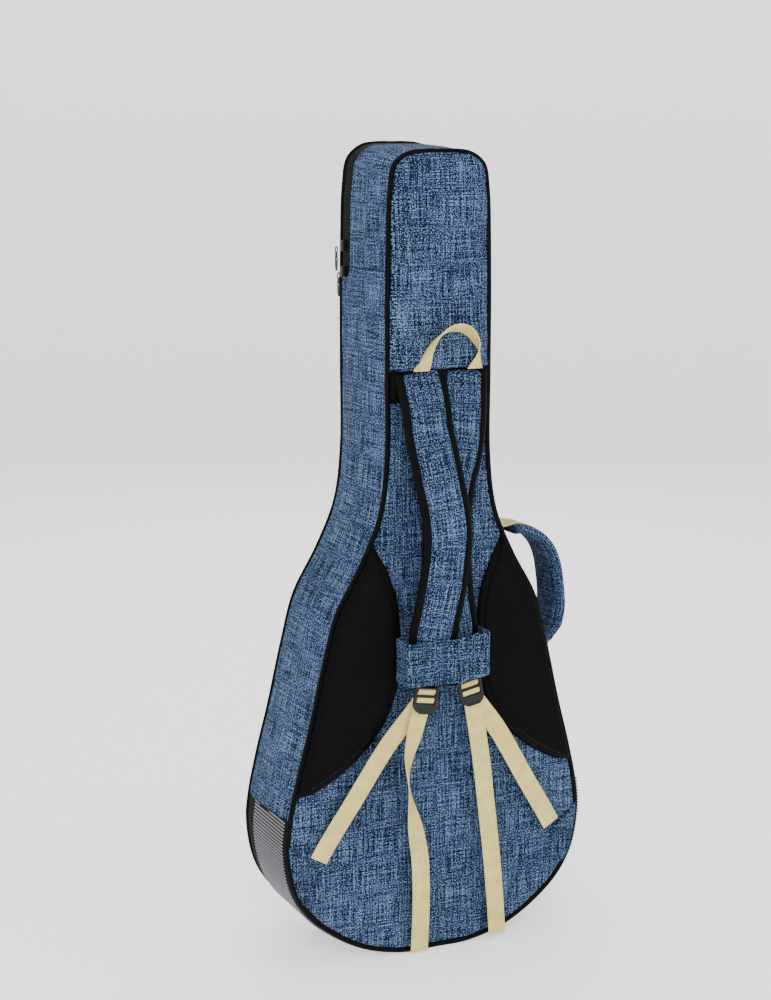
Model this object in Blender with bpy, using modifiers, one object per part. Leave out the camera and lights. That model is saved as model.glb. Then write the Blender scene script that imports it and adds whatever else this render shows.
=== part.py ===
"""Padded gig bag for a full-size classical guitar.

Metres, +Z up, strap side at -Y, lid side at +Y, carrying handle at +X. The origin is under the
middle of the bag, level with its lowest point.
"""

import math

import bpy
from mathutils import Matrix, Vector

MM = 0.001

# Driving dimensions.
HEIGHT = 1.05
DEPTH = 0.14
SHELL_Y = 0.0076
BACK = SHELL_Y - DEPTH / 2
FRONT = SHELL_Y + DEPTH / 2
BULGE = 0.006
GAP = 0.0003

CLOTH = 0.0012
FOAM = 0.011
WALL_FOAM = 0.0085
LINING = 0.0008
PIPING = 0.0026
PIPING_ROOM = 0.0031

ZIP_BAND = 0.036
ZIP = FRONT - ZIP_BAND / 2
HINGE_BOTTOM = 0.203
FLARE_BOTTOM = 0.865
FLARE_TOP = 0.900
TAPE_END = 0.887

HEM = 0.775
YOKE_BOTTOM = 0.734
PAD = 0.009

POCKET_DEPTH = 0.026
POCKET_BOTTOM = 0.050
POCKET_TOP = 0.400
POCKET_ZIP = 0.372
POCKET_INSET = 0.022
POCKET_FACE = 0.003

STRAP_WIDTH = 0.068
STRAP_THICKNESS = 0.011
BINDING = 0.0055
WEBBING = 0.025
WEBBING_THICKNESS = 0.0016

LID_HINGE_BOTTOM = Vector((-0.2185, FRONT + 0.0035, 0.165))
LID_HINGE_TOP = Vector((-0.0722, FRONT + 0.0035, 1.006))

# Half of the bag's outline, from the middle of the bottom round to the middle of the top (x, z in mm).
HALF_OUTLINE = [
    (0, 0), (48, 0.5), (105, 15), (155, 45), (187, 76), (206, 112), (214.8, 165), (211.5, 203),
    (199, 260), (183, 320), (161.6, 410), (144.6, 470), (111, 530), (85, 590), (75.2, 660),
    (74.6, 770), (74.5, 865), (74.2, 887), (74.0, 900), (73.4, 940), (71, 1000), (64.5, 1032),
    (45, 1046.5), (20, 1050), (0, 1050),
]

# Inner edge of a back mesh pad, from its upper tip to its lower tip (x, z in mm).
MESH_EDGE = [
    (91, 556), (74, 515), (62, 480), (57.5, 430), (60, 375), (72, 338), (92, 307), (128, 273),
    (171, 248), (202, 237),
]

# Middle of each shoulder strap's front face (x, distance out from the back, z in mm).
STRAP_PATHS = {
    "left": [
        (-35.5, 25, 771), (-27, 33, 704), (-17, 39, 650), (-4, 43, 573), (-8, 42, 514),
        (-16, 41, 470), (-25, 41, 432), (-31, 41, 392),
    ],
    "right": [
        (32.5, 13.2, 771), (27, 19, 704), (20, 23, 665), (10, 25, 630), (3, 26, 573),
        (5, 26, 514), (9, 25, 480), (16, 25, 435), (25, 25, 392),
    ],
}

# Middle of the hang loop's webbing, given in the same way.
HANG_LOOP = [
    (-34, 21, 776), (-29, 25, 795), (-16, 29, 817), (4, 30, 829), (24, 29, 827), (40, 27, 812),
    (46, 24, 794), (42, 20, 776),
]
LOOP_WIDTH = 0.022
LOOP_LEAN, LOOP_TILT = 0.8, 0.45

# Side handle, outer face (x, z in mm), from its upper foot to its lower foot.
SIDE_HANDLE = [
    (109, 558), (135, 560), (165, 547), (182, 529), (192, 506), (197, 480), (200, 446),
    (196, 421), (189, 401), (182, 383),
]
HANDLE_Y = BACK + 0.043
HANDLE_WIDTH = 0.066
HANDLE_THICKNESS = 0.012
HANDLE_WEBBING = 0.038
HANDLE_PIVOT = (0.140, HANDLE_Y, 0.476)
HANDLE_PATCHES = {"upper": (0.534, 0.580), "lower": (0.300, 0.372)}
PATCH_START = BACK + 0.004
PATCH_WIDTH = 0.074

# Corner tab in the outline of x, z, and the webbing sewn into it (x, distance out from the back, z in mm).
ANCHOR_TAB = [(206, 172), (169, 138), (184, 92), (200, 122)]
ANCHOR_ROUTE = [(47, 26, 338), (80, 20, 296), (126, 11, 222), (160, 5.5, 168), (171, 4.4, 149)]

# Webbing below the buckles, given in the same way.
TAILS = {
    "left": [
        (-40, 30.5, 334), (-46, 28, 305), (-52, 25, 270), (-50, 23, 228), (-40, 20, 178),
        (-31, 16, 130), (-28, 13, 74), (-29, 10, 3),
    ],
    "right": [(38, 30.5, 337), (52, 27, 262), (63, 21, 198), (74, 16, 127), (83, 12, 55), (87, 11, 8)],
}
TAIL_TWIST = 1.15
TWIST_MIDDLE = 0.250
TWIST_REACH = 0.050

# Sleeve that holds the two straps together. SLEEVE_NEAR and SLEEVE_FAR are distances from the back.
SLEEVE_LEFT, SLEEVE_RIGHT = -0.064, 0.053
SLEEVE_BOTTOM, SLEEVE_TOP = 0.376, 0.434
SLEEVE_NEAR, SLEEVE_FAR = 0.0095, 0.0490
SLEEVE_WALL = 0.002
SLEEVE_CORNER = 0.012
FLAP = [(0.004, 0.379), (0.049, 0.383), (0.049, 0.437), (0.004, 0.433)]
FLAP_THICKNESS = 0.003
FLAP_PIVOT = (0.049, BACK - 0.0508, 0.41)

# Buckles: place of the middle (x, z) and turn about the way they face.
BUCKLES = {"left": (-0.0335, 0.3555, 0.16), "right": (0.0315, 0.3590, -0.20)}
BUCKLE_Y = BACK - 0.035
BUCKLE_THICKNESS = 0.004
BUCKLE_FRAME = [
    (-0.017, 0.016), (-0.017, -0.008), (-0.012, -0.015), (0, -0.0185), (0.012, -0.015),
    (0.017, -0.008), (0.017, 0.016),
]
BUCKLE_WINDOWS = [(0.0055, 0.0125), (-0.0055, 0.0015)]
WINDOW_HALF = 0.0135
BUCKLE_HINGE = 0.0145

# Neck rest: middle of its height, its height, and half widths and depths of its notch.
NECK_REST_Z = 0.74
NECK_REST_HEIGHT = 0.06
NECK_REST_HALF = 0.056
NECK_REST_DEPTH = 0.050
NOTCH_TOP, NOTCH_BOTTOM = 0.030, 0.022
NOTCH_FLOOR = 0.024
NECK_STRAP_LEFT, NECK_STRAP_RIGHT = -0.054, 0.050
NECK_STRAP_HALF_HEIGHT = 0.015
NECK_STRAP_THICKNESS = 0.0024

# Main zip's sliders: height, and how far out the pull hangs.
MAIN_SLIDERS = {"upper_main": (0.926, 0.0120), "lower_main": (0.893, 0.0090)}
HEAD_HALF_WIDTH = 0.0742
SLIDER = Vector((0.0055, 0.0048, 0.007))
PULL_DROP = 0.004
PULL_RING, PULL_HOLE = 0.0045, 0.0026
PULL_LENGTH = 0.0275
PULL_HALF_WIDTH = 0.0018
PULL_THICKNESS = 0.0016

FINISHES = {
    "denim": ((0.13, 0.22, 0.40), 0.85, 0.0),
    "black_cloth": ((0.012, 0.012, 0.014), 0.8, 0.0),
    "black_mesh": ((0.03, 0.03, 0.032), 0.75, 0.0),
    "grey_rib": ((0.20, 0.22, 0.25), 0.7, 0.0),
    "beige_webbing": ((0.72, 0.55, 0.30), 0.75, 0.0),
    "foam": ((0.10, 0.10, 0.11), 0.9, 0.0),
    "plush": ((0.16, 0.16, 0.17), 0.95, 0.0),
    "black_plastic": ((0.015, 0.015, 0.016), 0.4, 0.0),
    "black_metal": ((0.02, 0.02, 0.022), 0.35, 1.0),
}


# ---- Scene and material helpers ----

def clear_scene():
    for obj in list(bpy.data.objects):
        bpy.data.objects.remove(obj, do_unlink=True)


def collection(name):
    made = bpy.data.collections.new(name)
    bpy.context.scene.collection.children.link(made)
    return made


def finished(obj, look):
    """Puts the object in the bag's collection, with a material of its own."""
    colour, roughness, metallic = FINISHES[look]
    material = bpy.data.materials.new(obj.name)
    material.use_nodes = True
    shader = material.node_tree.nodes["Principled BSDF"]
    shader.inputs["Base Color"].default_value = (*colour, 1)
    shader.inputs["Roughness"].default_value = roughness
    shader.inputs["Metallic"].default_value = metallic
    obj.data.materials.append(material)
    bpy.data.collections["padded_gig_bag"].objects.link(obj)
    return obj


def hang_on(name, point, pieces):
    """Parents the pieces to an empty on their joint's axis."""
    empty = bpy.data.objects.new(name, None)
    empty.location = point
    bpy.data.collections["padded_gig_bag"].objects.link(empty)
    for piece in pieces:
        piece.parent = empty
        piece.matrix_parent_inverse = Matrix.Translation(-Vector(point))


# ---- Paths ----

def smooth(points, steps=2):
    """A centripetal Catmull-Rom curve through the points, with this many steps a span."""
    knots = [Vector(p) for p in points]
    knots = [2 * knots[0] - knots[1], *knots, 2 * knots[-1] - knots[-2]]
    path = []
    for i in range(len(knots) - 3):
        near = knots[i:i + 4]
        times = [0.0]
        for a, b in zip(near, near[1:]):
            times.append(times[-1] + (b - a).length ** 0.5)
        for step in range(steps):
            path.append(between_knots(near, times, times[1] + (times[2] - times[1]) * step / steps))
    path.append(knots[-2])
    return path


def between_knots(near, times, now):
    """A place on the curve between the middle two of four knots."""
    def mix(a, b, start, end):
        return a + (b - a) * ((now - times[start]) / (times[end] - times[start]))

    first = [mix(near[i], near[i + 1], i, i + 1) for i in range(3)]
    second = [mix(first[i], first[i + 1], i, i + 2) for i in range(2)]
    return mix(*second, 1, 2)


def outline():
    """The middle of the piping as a closed path in x, z, counter-clockwise from the strap side."""
    right = smooth([(x * MM, z * MM) for x, z in HALF_OUTLINE])
    left = [Vector((-p.x, p.y)) for p in reversed(right[1:-1])]
    return offset(right + left, -PIPING)


def offset(path, distance, closed=True):
    """The path moved outwards, square to its own direction."""
    moved = []
    for i, point in enumerate(path):
        before = path[i - 1] if closed or i else point
        after = path[(i + 1) % len(path)] if closed or i + 1 < len(path) else point
        along = (after - before).normalized()
        moved.append(point + Vector((along.y, -along.x)) * distance)
    return moved


def stretch_of(path, first, last):
    """The part of the closed outline between two places, each a side (-1 or 1) and a height."""
    def nearest(place):
        side, height = place
        return min(
            (i for i, p in enumerate(path) if p.x * side > 0), key=lambda i: abs(path[i].y - height)
        )

    start, stop = nearest(first), nearest(last)
    count = (stop - start) % len(path) + 1
    return [(start + k) % len(path) for k in range(count)]


def bulge(y):
    return BULGE * (1 - ((y - SHELL_Y) / (DEPTH / 2)) ** 2)


# ---- Solids ----

def sheet(name, rows, thickness, look, ring=False, side=-1):
    """A wall of even thickness on a grid of points."""
    across = len(rows[0])
    last = len(rows) if ring else len(rows) - 1
    faces = []
    for i in range(last):
        j = (i + 1) % len(rows)
        for k in range(across - 1):
            faces.append((i * across + k, i * across + k + 1, j * across + k + 1, j * across + k))
    mesh = bpy.data.meshes.new(name)
    mesh.from_pydata([p for row in rows for p in row], [], faces)
    mesh.shade_smooth()
    obj = finished(bpy.data.objects.new(name, mesh), look)
    wall = obj.modifiers.new("wall", "SOLIDIFY")
    wall.thickness = thickness
    wall.offset = side
    wall.use_even_offset = True
    return obj


def plate(name, loops, y, thickness, look, turn=0.0, centre=(0, 0)):
    """A flat piece facing the strap side, from closed loops in x, z; y is its middle."""
    curve = bpy.data.curves.new(name, "CURVE")
    curve.dimensions = "2D"
    curve.fill_mode = "BOTH"
    curve.extrude = thickness / 2
    for loop in loops:
        spline = curve.splines.new("POLY")
        spline.points.add(len(loop) - 1)
        for point, place in zip(spline.points, loop):
            point.co = (place[0], place[1], 0, 1)
        spline.use_cyclic_u = True
    obj = finished(bpy.data.objects.new(name, curve), look)
    obj.rotation_euler = (math.pi / 2, turn, 0)
    obj.location = (centre[0], y, centre[1])
    return obj


def tube(name, path, radius, look, closed=False):
    curve = bpy.data.curves.new(name, "CURVE")
    curve.dimensions = "3D"
    curve.bevel_depth = radius
    curve.bevel_resolution = 1
    curve.use_fill_caps = not closed
    spline = curve.splines.new("POLY")
    spline.points.add(len(path) - 1)
    for point, place in zip(spline.points, path):
        point.co = (*place, 1)
    spline.use_cyclic_u = closed
    return finished(bpy.data.objects.new(name, curve), look)


def block(name, low, high, look, bevel=0.0):
    """A box between two corners, with rounded edges."""
    bpy.ops.mesh.primitive_cube_add(size=1)
    obj = bpy.context.object
    obj.name = name
    size = Vector(high) - Vector(low)
    obj.data.transform(Matrix.Diagonal((*size, 1)))
    obj.location = (Vector(low) + Vector(high)) / 2
    for home in list(obj.users_collection):
        home.objects.unlink(obj)
    if bevel:
        edge = obj.modifiers.new("edge", "BEVEL")
        edge.width = bevel
        edge.segments = 2
    return finished(obj, look)


def ribbon(name, path, width, thickness, look, sides=None, out=Vector((0, -1, 0))):
    """A flat strap along a path. Its width lies square to the path and to the way it faces."""
    rows = []
    for i, point in enumerate(path):
        along = path[min(i + 1, len(path) - 1)] - path[max(i - 1, 0)]
        across = sides[i].normalized() if sides else along.cross(out).normalized()
        half = (width[i] if isinstance(width, list) else width) / 2
        rows.append([point - across * half, point + across * half])
    return sheet(name, rows, thickness, look, side=0)


def at_back(x, out, z):
    """A place given in millimetres, with its distance out from the back panel."""
    return Vector((x * MM, BACK - out * MM, z * MM))


# ---- Shell: panels and gusset ----

def panel_layers(side, edge):
    """Cover, foam and lining of one big face. side is -1 for the back and 1 for the front."""
    name = "back" if side < 0 else "front"
    face = BACK if side < 0 else FRONT
    inset = offset(edge, -PIPING_ROOM)
    depth = 0.0
    made = []
    for layer, thickness, look in (
        ("cover", CLOTH, "denim"), ("foam", FOAM, "foam"), ("lining", LINING, "plush")
    ):
        y = face - side * (depth + thickness / 2)
        made.append(plate(f"{name}_{layer}", [inset], y, thickness, look))
        depth += thickness + GAP
    return made


PANEL_STACK = CLOTH + FOAM + LINING + 3 * GAP


def denim_front(point):
    """Where the side denim ends towards the front, at a place on the outline."""
    hinge_side = point.x < 0 and HINGE_BOTTOM - 0.001 <= point.y
    if not hinge_side:
        return FRONT - ZIP_BAND
    share = min(max((point.y - FLARE_BOTTOM) / (FLARE_TOP - FLARE_BOTTOM), 0), 1)
    return FRONT - PIPING_ROOM - (ZIP_BAND - PIPING_ROOM) * share


def foam_front(point):
    """Where the side foam ends: at the zip, or behind the front panel on the hinge side."""
    hinge_side = point.x < 0 and HINGE_BOTTOM + 0.001 < point.y <= FLARE_BOTTOM
    return FRONT - PANEL_STACK if hinge_side else ZIP - 2 * GAP


def band(name, edge, indexes, spans, depth_in, thickness, look, ring=False, columns=4):
    """A strip of the gusset. spans gives its back and front limits at each place."""
    ahead = offset(edge, 1.0)
    rows = []
    for i in indexes:
        back, front = spans(edge[i])
        normal = ahead[i] - edge[i]
        row = []
        for k in range(columns + 1):
            y = back + (front - back) * k / columns
            place = edge[i] + normal * (bulge(y) * abs(normal.x) - depth_in)
            row.append(Vector((place.x, y, place.y)))
        rows.append(row)
    if not ring:
        draw_back_ends(rows)
    return sheet(name, rows, thickness, look, ring=ring)


def draw_back_ends(rows):
    """Leaves a gap at each end of a strip, for the strip that it meets there."""
    for end, inner in ((0, 1), (-1, -2)):
        rows[end] = [p + (q - p).normalized() * GAP for p, q in zip(rows[end], rows[inner])]


def gusset(edge):
    everywhere = range(len(edge))
    back_limit = BACK + PIPING_ROOM
    upper = stretch_of(edge, (1, HINGE_BOTTOM), (-1, HINGE_BOTTOM))
    lower = stretch_of(edge, (-1, HINGE_BOTTOM), (1, HINGE_BOTTOM))
    inner_back = BACK + PANEL_STACK
    band("gusset_cover", edge, upper, lambda p: (back_limit, denim_front(p)), 0, CLOTH, "denim")
    band("bumper", edge, lower, lambda p: (back_limit, FRONT - ZIP_BAND), 0, CLOTH, "grey_rib")
    band(
        "gusset_foam", edge, everywhere, lambda p: (inner_back, foam_front(p)),
        CLOTH + 3 * GAP, WALL_FOAM, "foam", ring=True, columns=2,
    )
    band(
        "gusset_lining", edge, everywhere, lambda p: (inner_back, foam_front(p)),
        CLOTH + WALL_FOAM + 9 * GAP, LINING, "plush", ring=True, columns=2,
    )


def zip_tapes(edge):
    """The two halves of the zip, from the lower end of the hinge round to its upper end."""
    path = stretch_of(edge, (-1, HINGE_BOTTOM), (-1, TAPE_END))

    def shell_span(p):
        at_lower_end = p.x < 0 and abs(p.y - HINGE_BOTTOM) < 0.001
        back = FRONT - ZIP_BAND if at_lower_end else denim_front(p)
        return back + GAP, ZIP - GAP

    band("zip_tape_shell", edge, path, shell_span, 0, CLOTH, "black_cloth", columns=1)
    return band(
        "zip_tape_lid", edge, path, lambda p: (ZIP + GAP, FRONT - PIPING_ROOM),
        0, CLOTH, "black_cloth", columns=1,
    )


def piping(name, edge, y):
    return tube(name, [Vector((p.x, y, p.y)) for p in edge], PIPING, "black_cloth", closed=True)


# ---- Back of the bag ----

def clipped(edge, low, high, inset):
    """The part of the outline between two heights, as a closed loop."""
    inner = offset(edge, -inset)
    loop = []
    for i, point in enumerate(inner):
        following = inner[(i + 1) % len(inner)]
        if low <= point.y <= high:
            loop.append(point)
        levels = (low, high) if following.y > point.y else (high, low)
        for level in levels:
            if (point.y - level) * (following.y - level) < 0:
                loop.append(point.lerp(following, (level - point.y) / (following.y - point.y)))
    return loop


def upper_back(edge):
    face = BACK - GAP
    pad = clipped(edge, HEM, HEIGHT, 0.004)
    plate("upper_back_pad", [pad], face - PAD / 2, PAD, "denim")
    yoke = clipped(edge, YOKE_BOTTOM, HEM - GAP, 0.004)
    plate("strap_yoke", [yoke], face - CLOTH / 2, CLOTH, "black_cloth")


def mesh_pads(edge):
    """Leaf-shaped air-mesh pads at the waist, each with a binding along its inner edge."""
    inner_edge = smooth([(x * MM, z * MM) for x, z in MESH_EDGE])
    tip, toe = inner_edge[0], inner_edge[-1]
    rim = [p for p in offset(edge, -0.004) if p.x > 0 and toe.y < p.y < tip.y]
    binding_half = 0.0055
    for side, name in ((-1, "left"), (1, "right")):
        leaf = offset(inner_edge, -binding_half - GAP, closed=False)[1:-1]
        loop = [Vector((side * p.x, p.y)) for p in leaf + [q for q in rim if q.y > toe.y + 0.004]]
        plate(f"mesh_pad_{name}", [loop], BACK - GAP - PAD / 2, PAD, "black_mesh")
        path = [Vector((side * p.x, BACK - GAP - PAD / 2, p.y)) for p in inner_edge[1:-1]]
        ribbon(f"mesh_binding_{name}", path, 2 * binding_half, PAD - GAP, "black_cloth")


def anchors():
    """Denim corner tabs and the webbing sewn into them."""
    for side, name in ((-1, "left"), (1, "right")):
        tab = [(side * x * MM, z * MM) for x, z in ANCHOR_TAB]
        plate(f"anchor_tab_{name}", [tab], BACK - GAP - CLOTH, 2 * CLOTH, "denim")
        path = smooth([at_back(side * x, out, z) for x, out, z in ANCHOR_ROUTE])
        ribbon(f"anchor_webbing_{name}", path, WEBBING, WEBBING_THICKNESS, "beige_webbing")


def shoulder_straps():
    for name, places in STRAP_PATHS.items():
        half_depth = STRAP_THICKNESS / 2 / MM
        path = smooth([at_back(x, out - half_depth, z) for x, out, z in places], steps=3)
        taper = [min(1.0, 0.62 + 0.38 * (p.z - 0.388) / 0.05) for p in path]
        pad_width = [(STRAP_WIDTH - 4 * BINDING - 12 * GAP) * t for t in taper]
        ribbon(f"strap_pad_{name}", path[:-1], pad_width, STRAP_THICKNESS - 0.001, "denim")
        rim = strap_rim(path, [(STRAP_WIDTH / 2 - BINDING) * t for t in taper])
        tube(f"strap_binding_{name}", rim, BINDING, "black_cloth")


def strap_rim(path, halves):
    """Down one edge of a strap, round its lower end and up the other edge."""
    edges = ([], [])
    for i, point in enumerate(path):
        along = path[min(i + 1, len(path) - 1)] - path[max(i - 1, 0)]
        across = along.cross(Vector((0, -1, 0))).normalized()
        edges[0].append(point - across * halves[i])
        edges[1].append(point + across * halves[i])
    below = Vector((0, 0, -2 * BINDING - 0.001))
    turn = [edges[0][-1] + below * 0.8, path[-1] + below * 1.1, edges[1][-1] + below * 0.8]
    return edges[0] + turn + edges[1][::-1]


def strap_handle():
    """The hook-and-loop sleeve that holds the two straps together, and its flap."""
    far, near, wall = BACK - SLEEVE_FAR, BACK - SLEEVE_NEAR, SLEEVE_WALL
    outer = rounded_box(SLEEVE_LEFT, SLEEVE_RIGHT, far, near, SLEEVE_CORNER)
    inner = rounded_box(
        SLEEVE_LEFT + wall, SLEEVE_RIGHT - wall, far + wall, near - wall, SLEEVE_CORNER - wall
    )
    sleeve = plate("strap_handle", [outer, inner], 0, SLEEVE_TOP - SLEEVE_BOTTOM, "denim")
    sleeve.rotation_euler = (0, 0, 0)
    sleeve.location = (0, 0, (SLEEVE_BOTTOM + SLEEVE_TOP) / 2)
    return plate("strap_handle_flap", [FLAP], far - GAP - FLAP_THICKNESS / 2, FLAP_THICKNESS, "denim")


def rounded_box(x0, x1, y0, y1, radius, arc=3):
    corners = ((x1, y0, -90), (x1, y1, 0), (x0, y1, 90), (x0, y0, 180))
    loop = []
    for x, y, start in corners:
        centre_x = x - radius if x == x1 else x + radius
        centre_y = y + radius if y == y0 else y - radius
        for k in range(arc + 1):
            angle = math.radians(start + 90 * k / arc)
            loop.append((centre_x + radius * math.cos(angle), centre_y + radius * math.sin(angle)))
    return loop


def ladder_locks():
    """Strap buckles: a frame with two windows either side of a bar, and a thumb tab."""
    half = WINDOW_HALF
    windows = [
        [(-half, low), (half, low), (half, high), (-half, high)] for low, high in BUCKLE_WINDOWS
    ]
    made = {}
    for name, (x, z, turn) in BUCKLES.items():
        loops = [BUCKLE_FRAME, *windows]
        lock = plate(f"ladder_lock_{name}", loops, 0, BUCKLE_THICKNESS, "black_plastic", turn)
        pivot = Matrix.Rotation(turn, 4, "Y") @ Vector((0, 0, BUCKLE_HINGE))
        lock.location = (x, BUCKLE_Y, z)
        made[name] = (lock, Vector((x, BUCKLE_Y, z)) + pivot)
    return made


def webbing_tails():
    """The loose ends below the buckles. The left one turns on edge part of the way down."""
    left = smooth([at_back(*p) for p in TAILS["left"]], steps=3)
    turns = [TAIL_TWIST * math.exp(-(((p.z - TWIST_MIDDLE) / TWIST_REACH) ** 2)) for p in left]
    sides = [Vector((math.cos(turn), math.sin(turn), 0)) for turn in turns]
    ribbon("webbing_tail_left", left, WEBBING, WEBBING_THICKNESS, "beige_webbing", sides)
    right = smooth([at_back(*p) for p in TAILS["right"]])
    ribbon("webbing_tail_right", right, WEBBING, WEBBING_THICKNESS, "beige_webbing")


def hang_loop():
    path = smooth([at_back(*p) for p in HANG_LOOP], steps=2)
    sides = []
    for i in range(len(path)):
        lift = math.sin(math.pi * i / (len(path) - 1)) ** 0.5
        across = 1 - lift if i < len(path) / 2 else lift - 1
        sides.append(Vector((across, -LOOP_LEAN * lift, LOOP_TILT * lift)))
    ribbon("hang_loop", path, LOOP_WIDTH, WEBBING_THICKNESS, "beige_webbing", sides)


# ---- Side handle ----

def side_handle(edge):
    outer = smooth([(x * MM, z * MM) for x, z in SIDE_HANDLE])
    middle = offset(outer, HANDLE_THICKNESS / 2 + GAP, closed=False)
    grip_path = [Vector((p.x, HANDLE_Y, p.y)) for p in middle[2:-2]]
    along_y = [Vector((0, 1, 0))] * len(grip_path)
    grip = ribbon(
        "side_handle_grip", grip_path, HANDLE_WIDTH, HANDLE_THICKNESS, "denim", along_y
    )
    top = offset(outer, -WEBBING_THICKNESS / 2, closed=False)
    top_path = [Vector((p.x, HANDLE_Y, p.y)) for p in top]
    top_sides = [Vector((0, 1, 0))] * len(top_path)
    top_webbing = ribbon(
        "side_handle_webbing", top_path, HANDLE_WEBBING, WEBBING_THICKNESS, "beige_webbing", top_sides
    )
    for name, (low, high) in HANDLE_PATCHES.items():
        handle_patch(f"handle_patch_{name}", edge, low, high)
    return grip, top_webbing


def handle_patch(name, edge, low, high):
    """A black reinforcement that lies on the gusset under one foot of the handle."""
    side = clipped(edge, low, high, 0.0)
    right = sorted((p for p in side if p.x > 0), key=lambda p: p.y)
    rows = []
    for i, point in enumerate(right):
        along = (right[min(i + 1, len(right) - 1)] - right[max(i - 1, 0)]).normalized()
        normal = Vector((along.y, -along.x))
        row = []
        for k in range(5):
            y = PATCH_START + PATCH_WIDTH * k / 4
            place = point + normal * (bulge(y) + GAP)
            row.append(Vector((place.x, y, place.y)))
        rows.append(row)
    sheet(name, rows, CLOTH, "black_cloth", side=1)


# ---- Inside ----

def neck_rest():
    """A notched foam block that holds the guitar's neck, and the strap over it."""
    back = BACK + PANEL_STACK
    face = back + NECK_REST_DEPTH
    floor = back + NOTCH_FLOOR
    half = NECK_REST_HALF
    block_outline = [
        (-half, back), (half, back), (half, face), (NOTCH_TOP, face), (NOTCH_BOTTOM, floor),
        (-NOTCH_BOTTOM, floor), (-NOTCH_TOP, face), (-half, face),
    ]
    rest = plate("neck_rest", [block_outline], 0, NECK_REST_HEIGHT, "plush")
    rest.rotation_euler = (0, 0, 0)
    rest.location = (0, 0, NECK_REST_Z)
    low, high = NECK_REST_Z - NECK_STRAP_HALF_HEIGHT, NECK_REST_Z + NECK_STRAP_HALF_HEIGHT
    return block(
        "neck_strap", (NECK_STRAP_LEFT, face + 2 * GAP, low),
        (NECK_STRAP_RIGHT, face + 2 * GAP + NECK_STRAP_THICKNESS, high), "black_cloth", 0.0008,
    )


# ---- Main zip's sliders ----

def slider_and_pull(name, x, z, reach):
    """A slider on the left of the head, and the pull that hangs from it at this reach."""
    low = (x - SLIDER.x, ZIP - SLIDER.y, z - SLIDER.z)
    high = (x, ZIP + SLIDER.y, z + SLIDER.z)
    slider = block(f"{name}_slider", low, high, "black_metal", 0.001)
    pivot = Vector((x - reach, ZIP, z - PULL_DROP))
    pull = pull_tab(f"{name}_pull", pivot)
    pull.rotation_euler = (math.pi / 2, 0, math.pi / 2)
    return slider, pull, pivot


def pull_tab(name, pivot):
    """A ring that runs on into a long thin tab, hanging from its top."""
    loop = [(-PULL_HALF_WIDTH, -PULL_LENGTH), (PULL_HALF_WIDTH, -PULL_LENGTH)]
    loop += ring_arc(PULL_RING, -60, 240, 9)
    hole = ring_arc(PULL_HOLE, 0, 315, 8)
    pull = plate(name, [loop, hole], 0, PULL_THICKNESS, "black_metal")
    pull.location = pivot
    return pull


def ring_arc(radius, first, last, count):
    """This many places round the pull's ring, between two angles in degrees."""
    turns = [math.radians(first + (last - first) * k / (count - 1)) for k in range(count)]
    return [(radius * math.cos(a), radius * math.sin(a) - PULL_HALF_WIDTH) for a in turns]


# ---- Front pocket ----

def front_pocket(edge):
    """The accessory pocket on the lid: its sides, its face and the zip between two face pieces."""
    loop = clipped(edge, POCKET_BOTTOM, POCKET_TOP, POCKET_INSET)
    middle = (POCKET_BOTTOM + POCKET_TOP) / 2
    inner = [Vector((p.x * 0.978, middle + (p.y - middle) * 0.978)) for p in loop]
    side_y = FRONT + GAP + POCKET_DEPTH / 2
    face_y = FRONT + 2 * GAP + POCKET_DEPTH
    sides = plate("pocket_sides", [loop, inner], side_y, POCKET_DEPTH, "denim")
    pieces = [sides]
    for name, low, high, thickness, look in (
        ("pocket_face", POCKET_BOTTOM, POCKET_ZIP - 0.008, POCKET_FACE, "denim"),
        ("pocket_zip_tape", POCKET_ZIP - 0.0077, POCKET_ZIP + 0.0077, CLOTH, "black_cloth"),
        ("pocket_top", POCKET_ZIP + 0.008, POCKET_TOP, POCKET_FACE, "denim"),
    ):
        shape = clipped(edge, low, high, POCKET_INSET)
        pieces.append(plate(name, [shape], face_y + thickness / 2, thickness, look))
    return pieces


def pocket_slider(edge):
    zip_row = clipped(edge, POCKET_ZIP - 0.001, POCKET_ZIP, POCKET_INSET)
    x = min(p.x for p in zip_row) + 0.018
    y = FRONT + 2 * GAP + POCKET_DEPTH + CLOTH
    slider = block(
        "pocket_slider", (x - 0.007, y + GAP, POCKET_ZIP - 0.0048),
        (x + 0.007, y + GAP + 0.0055, POCKET_ZIP + 0.0048), "black_metal", 0.001,
    )
    pivot = Vector((x, y + 0.0085, POCKET_ZIP - 0.001))
    return slider, pull_tab("pocket_pull", pivot), pivot


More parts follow.
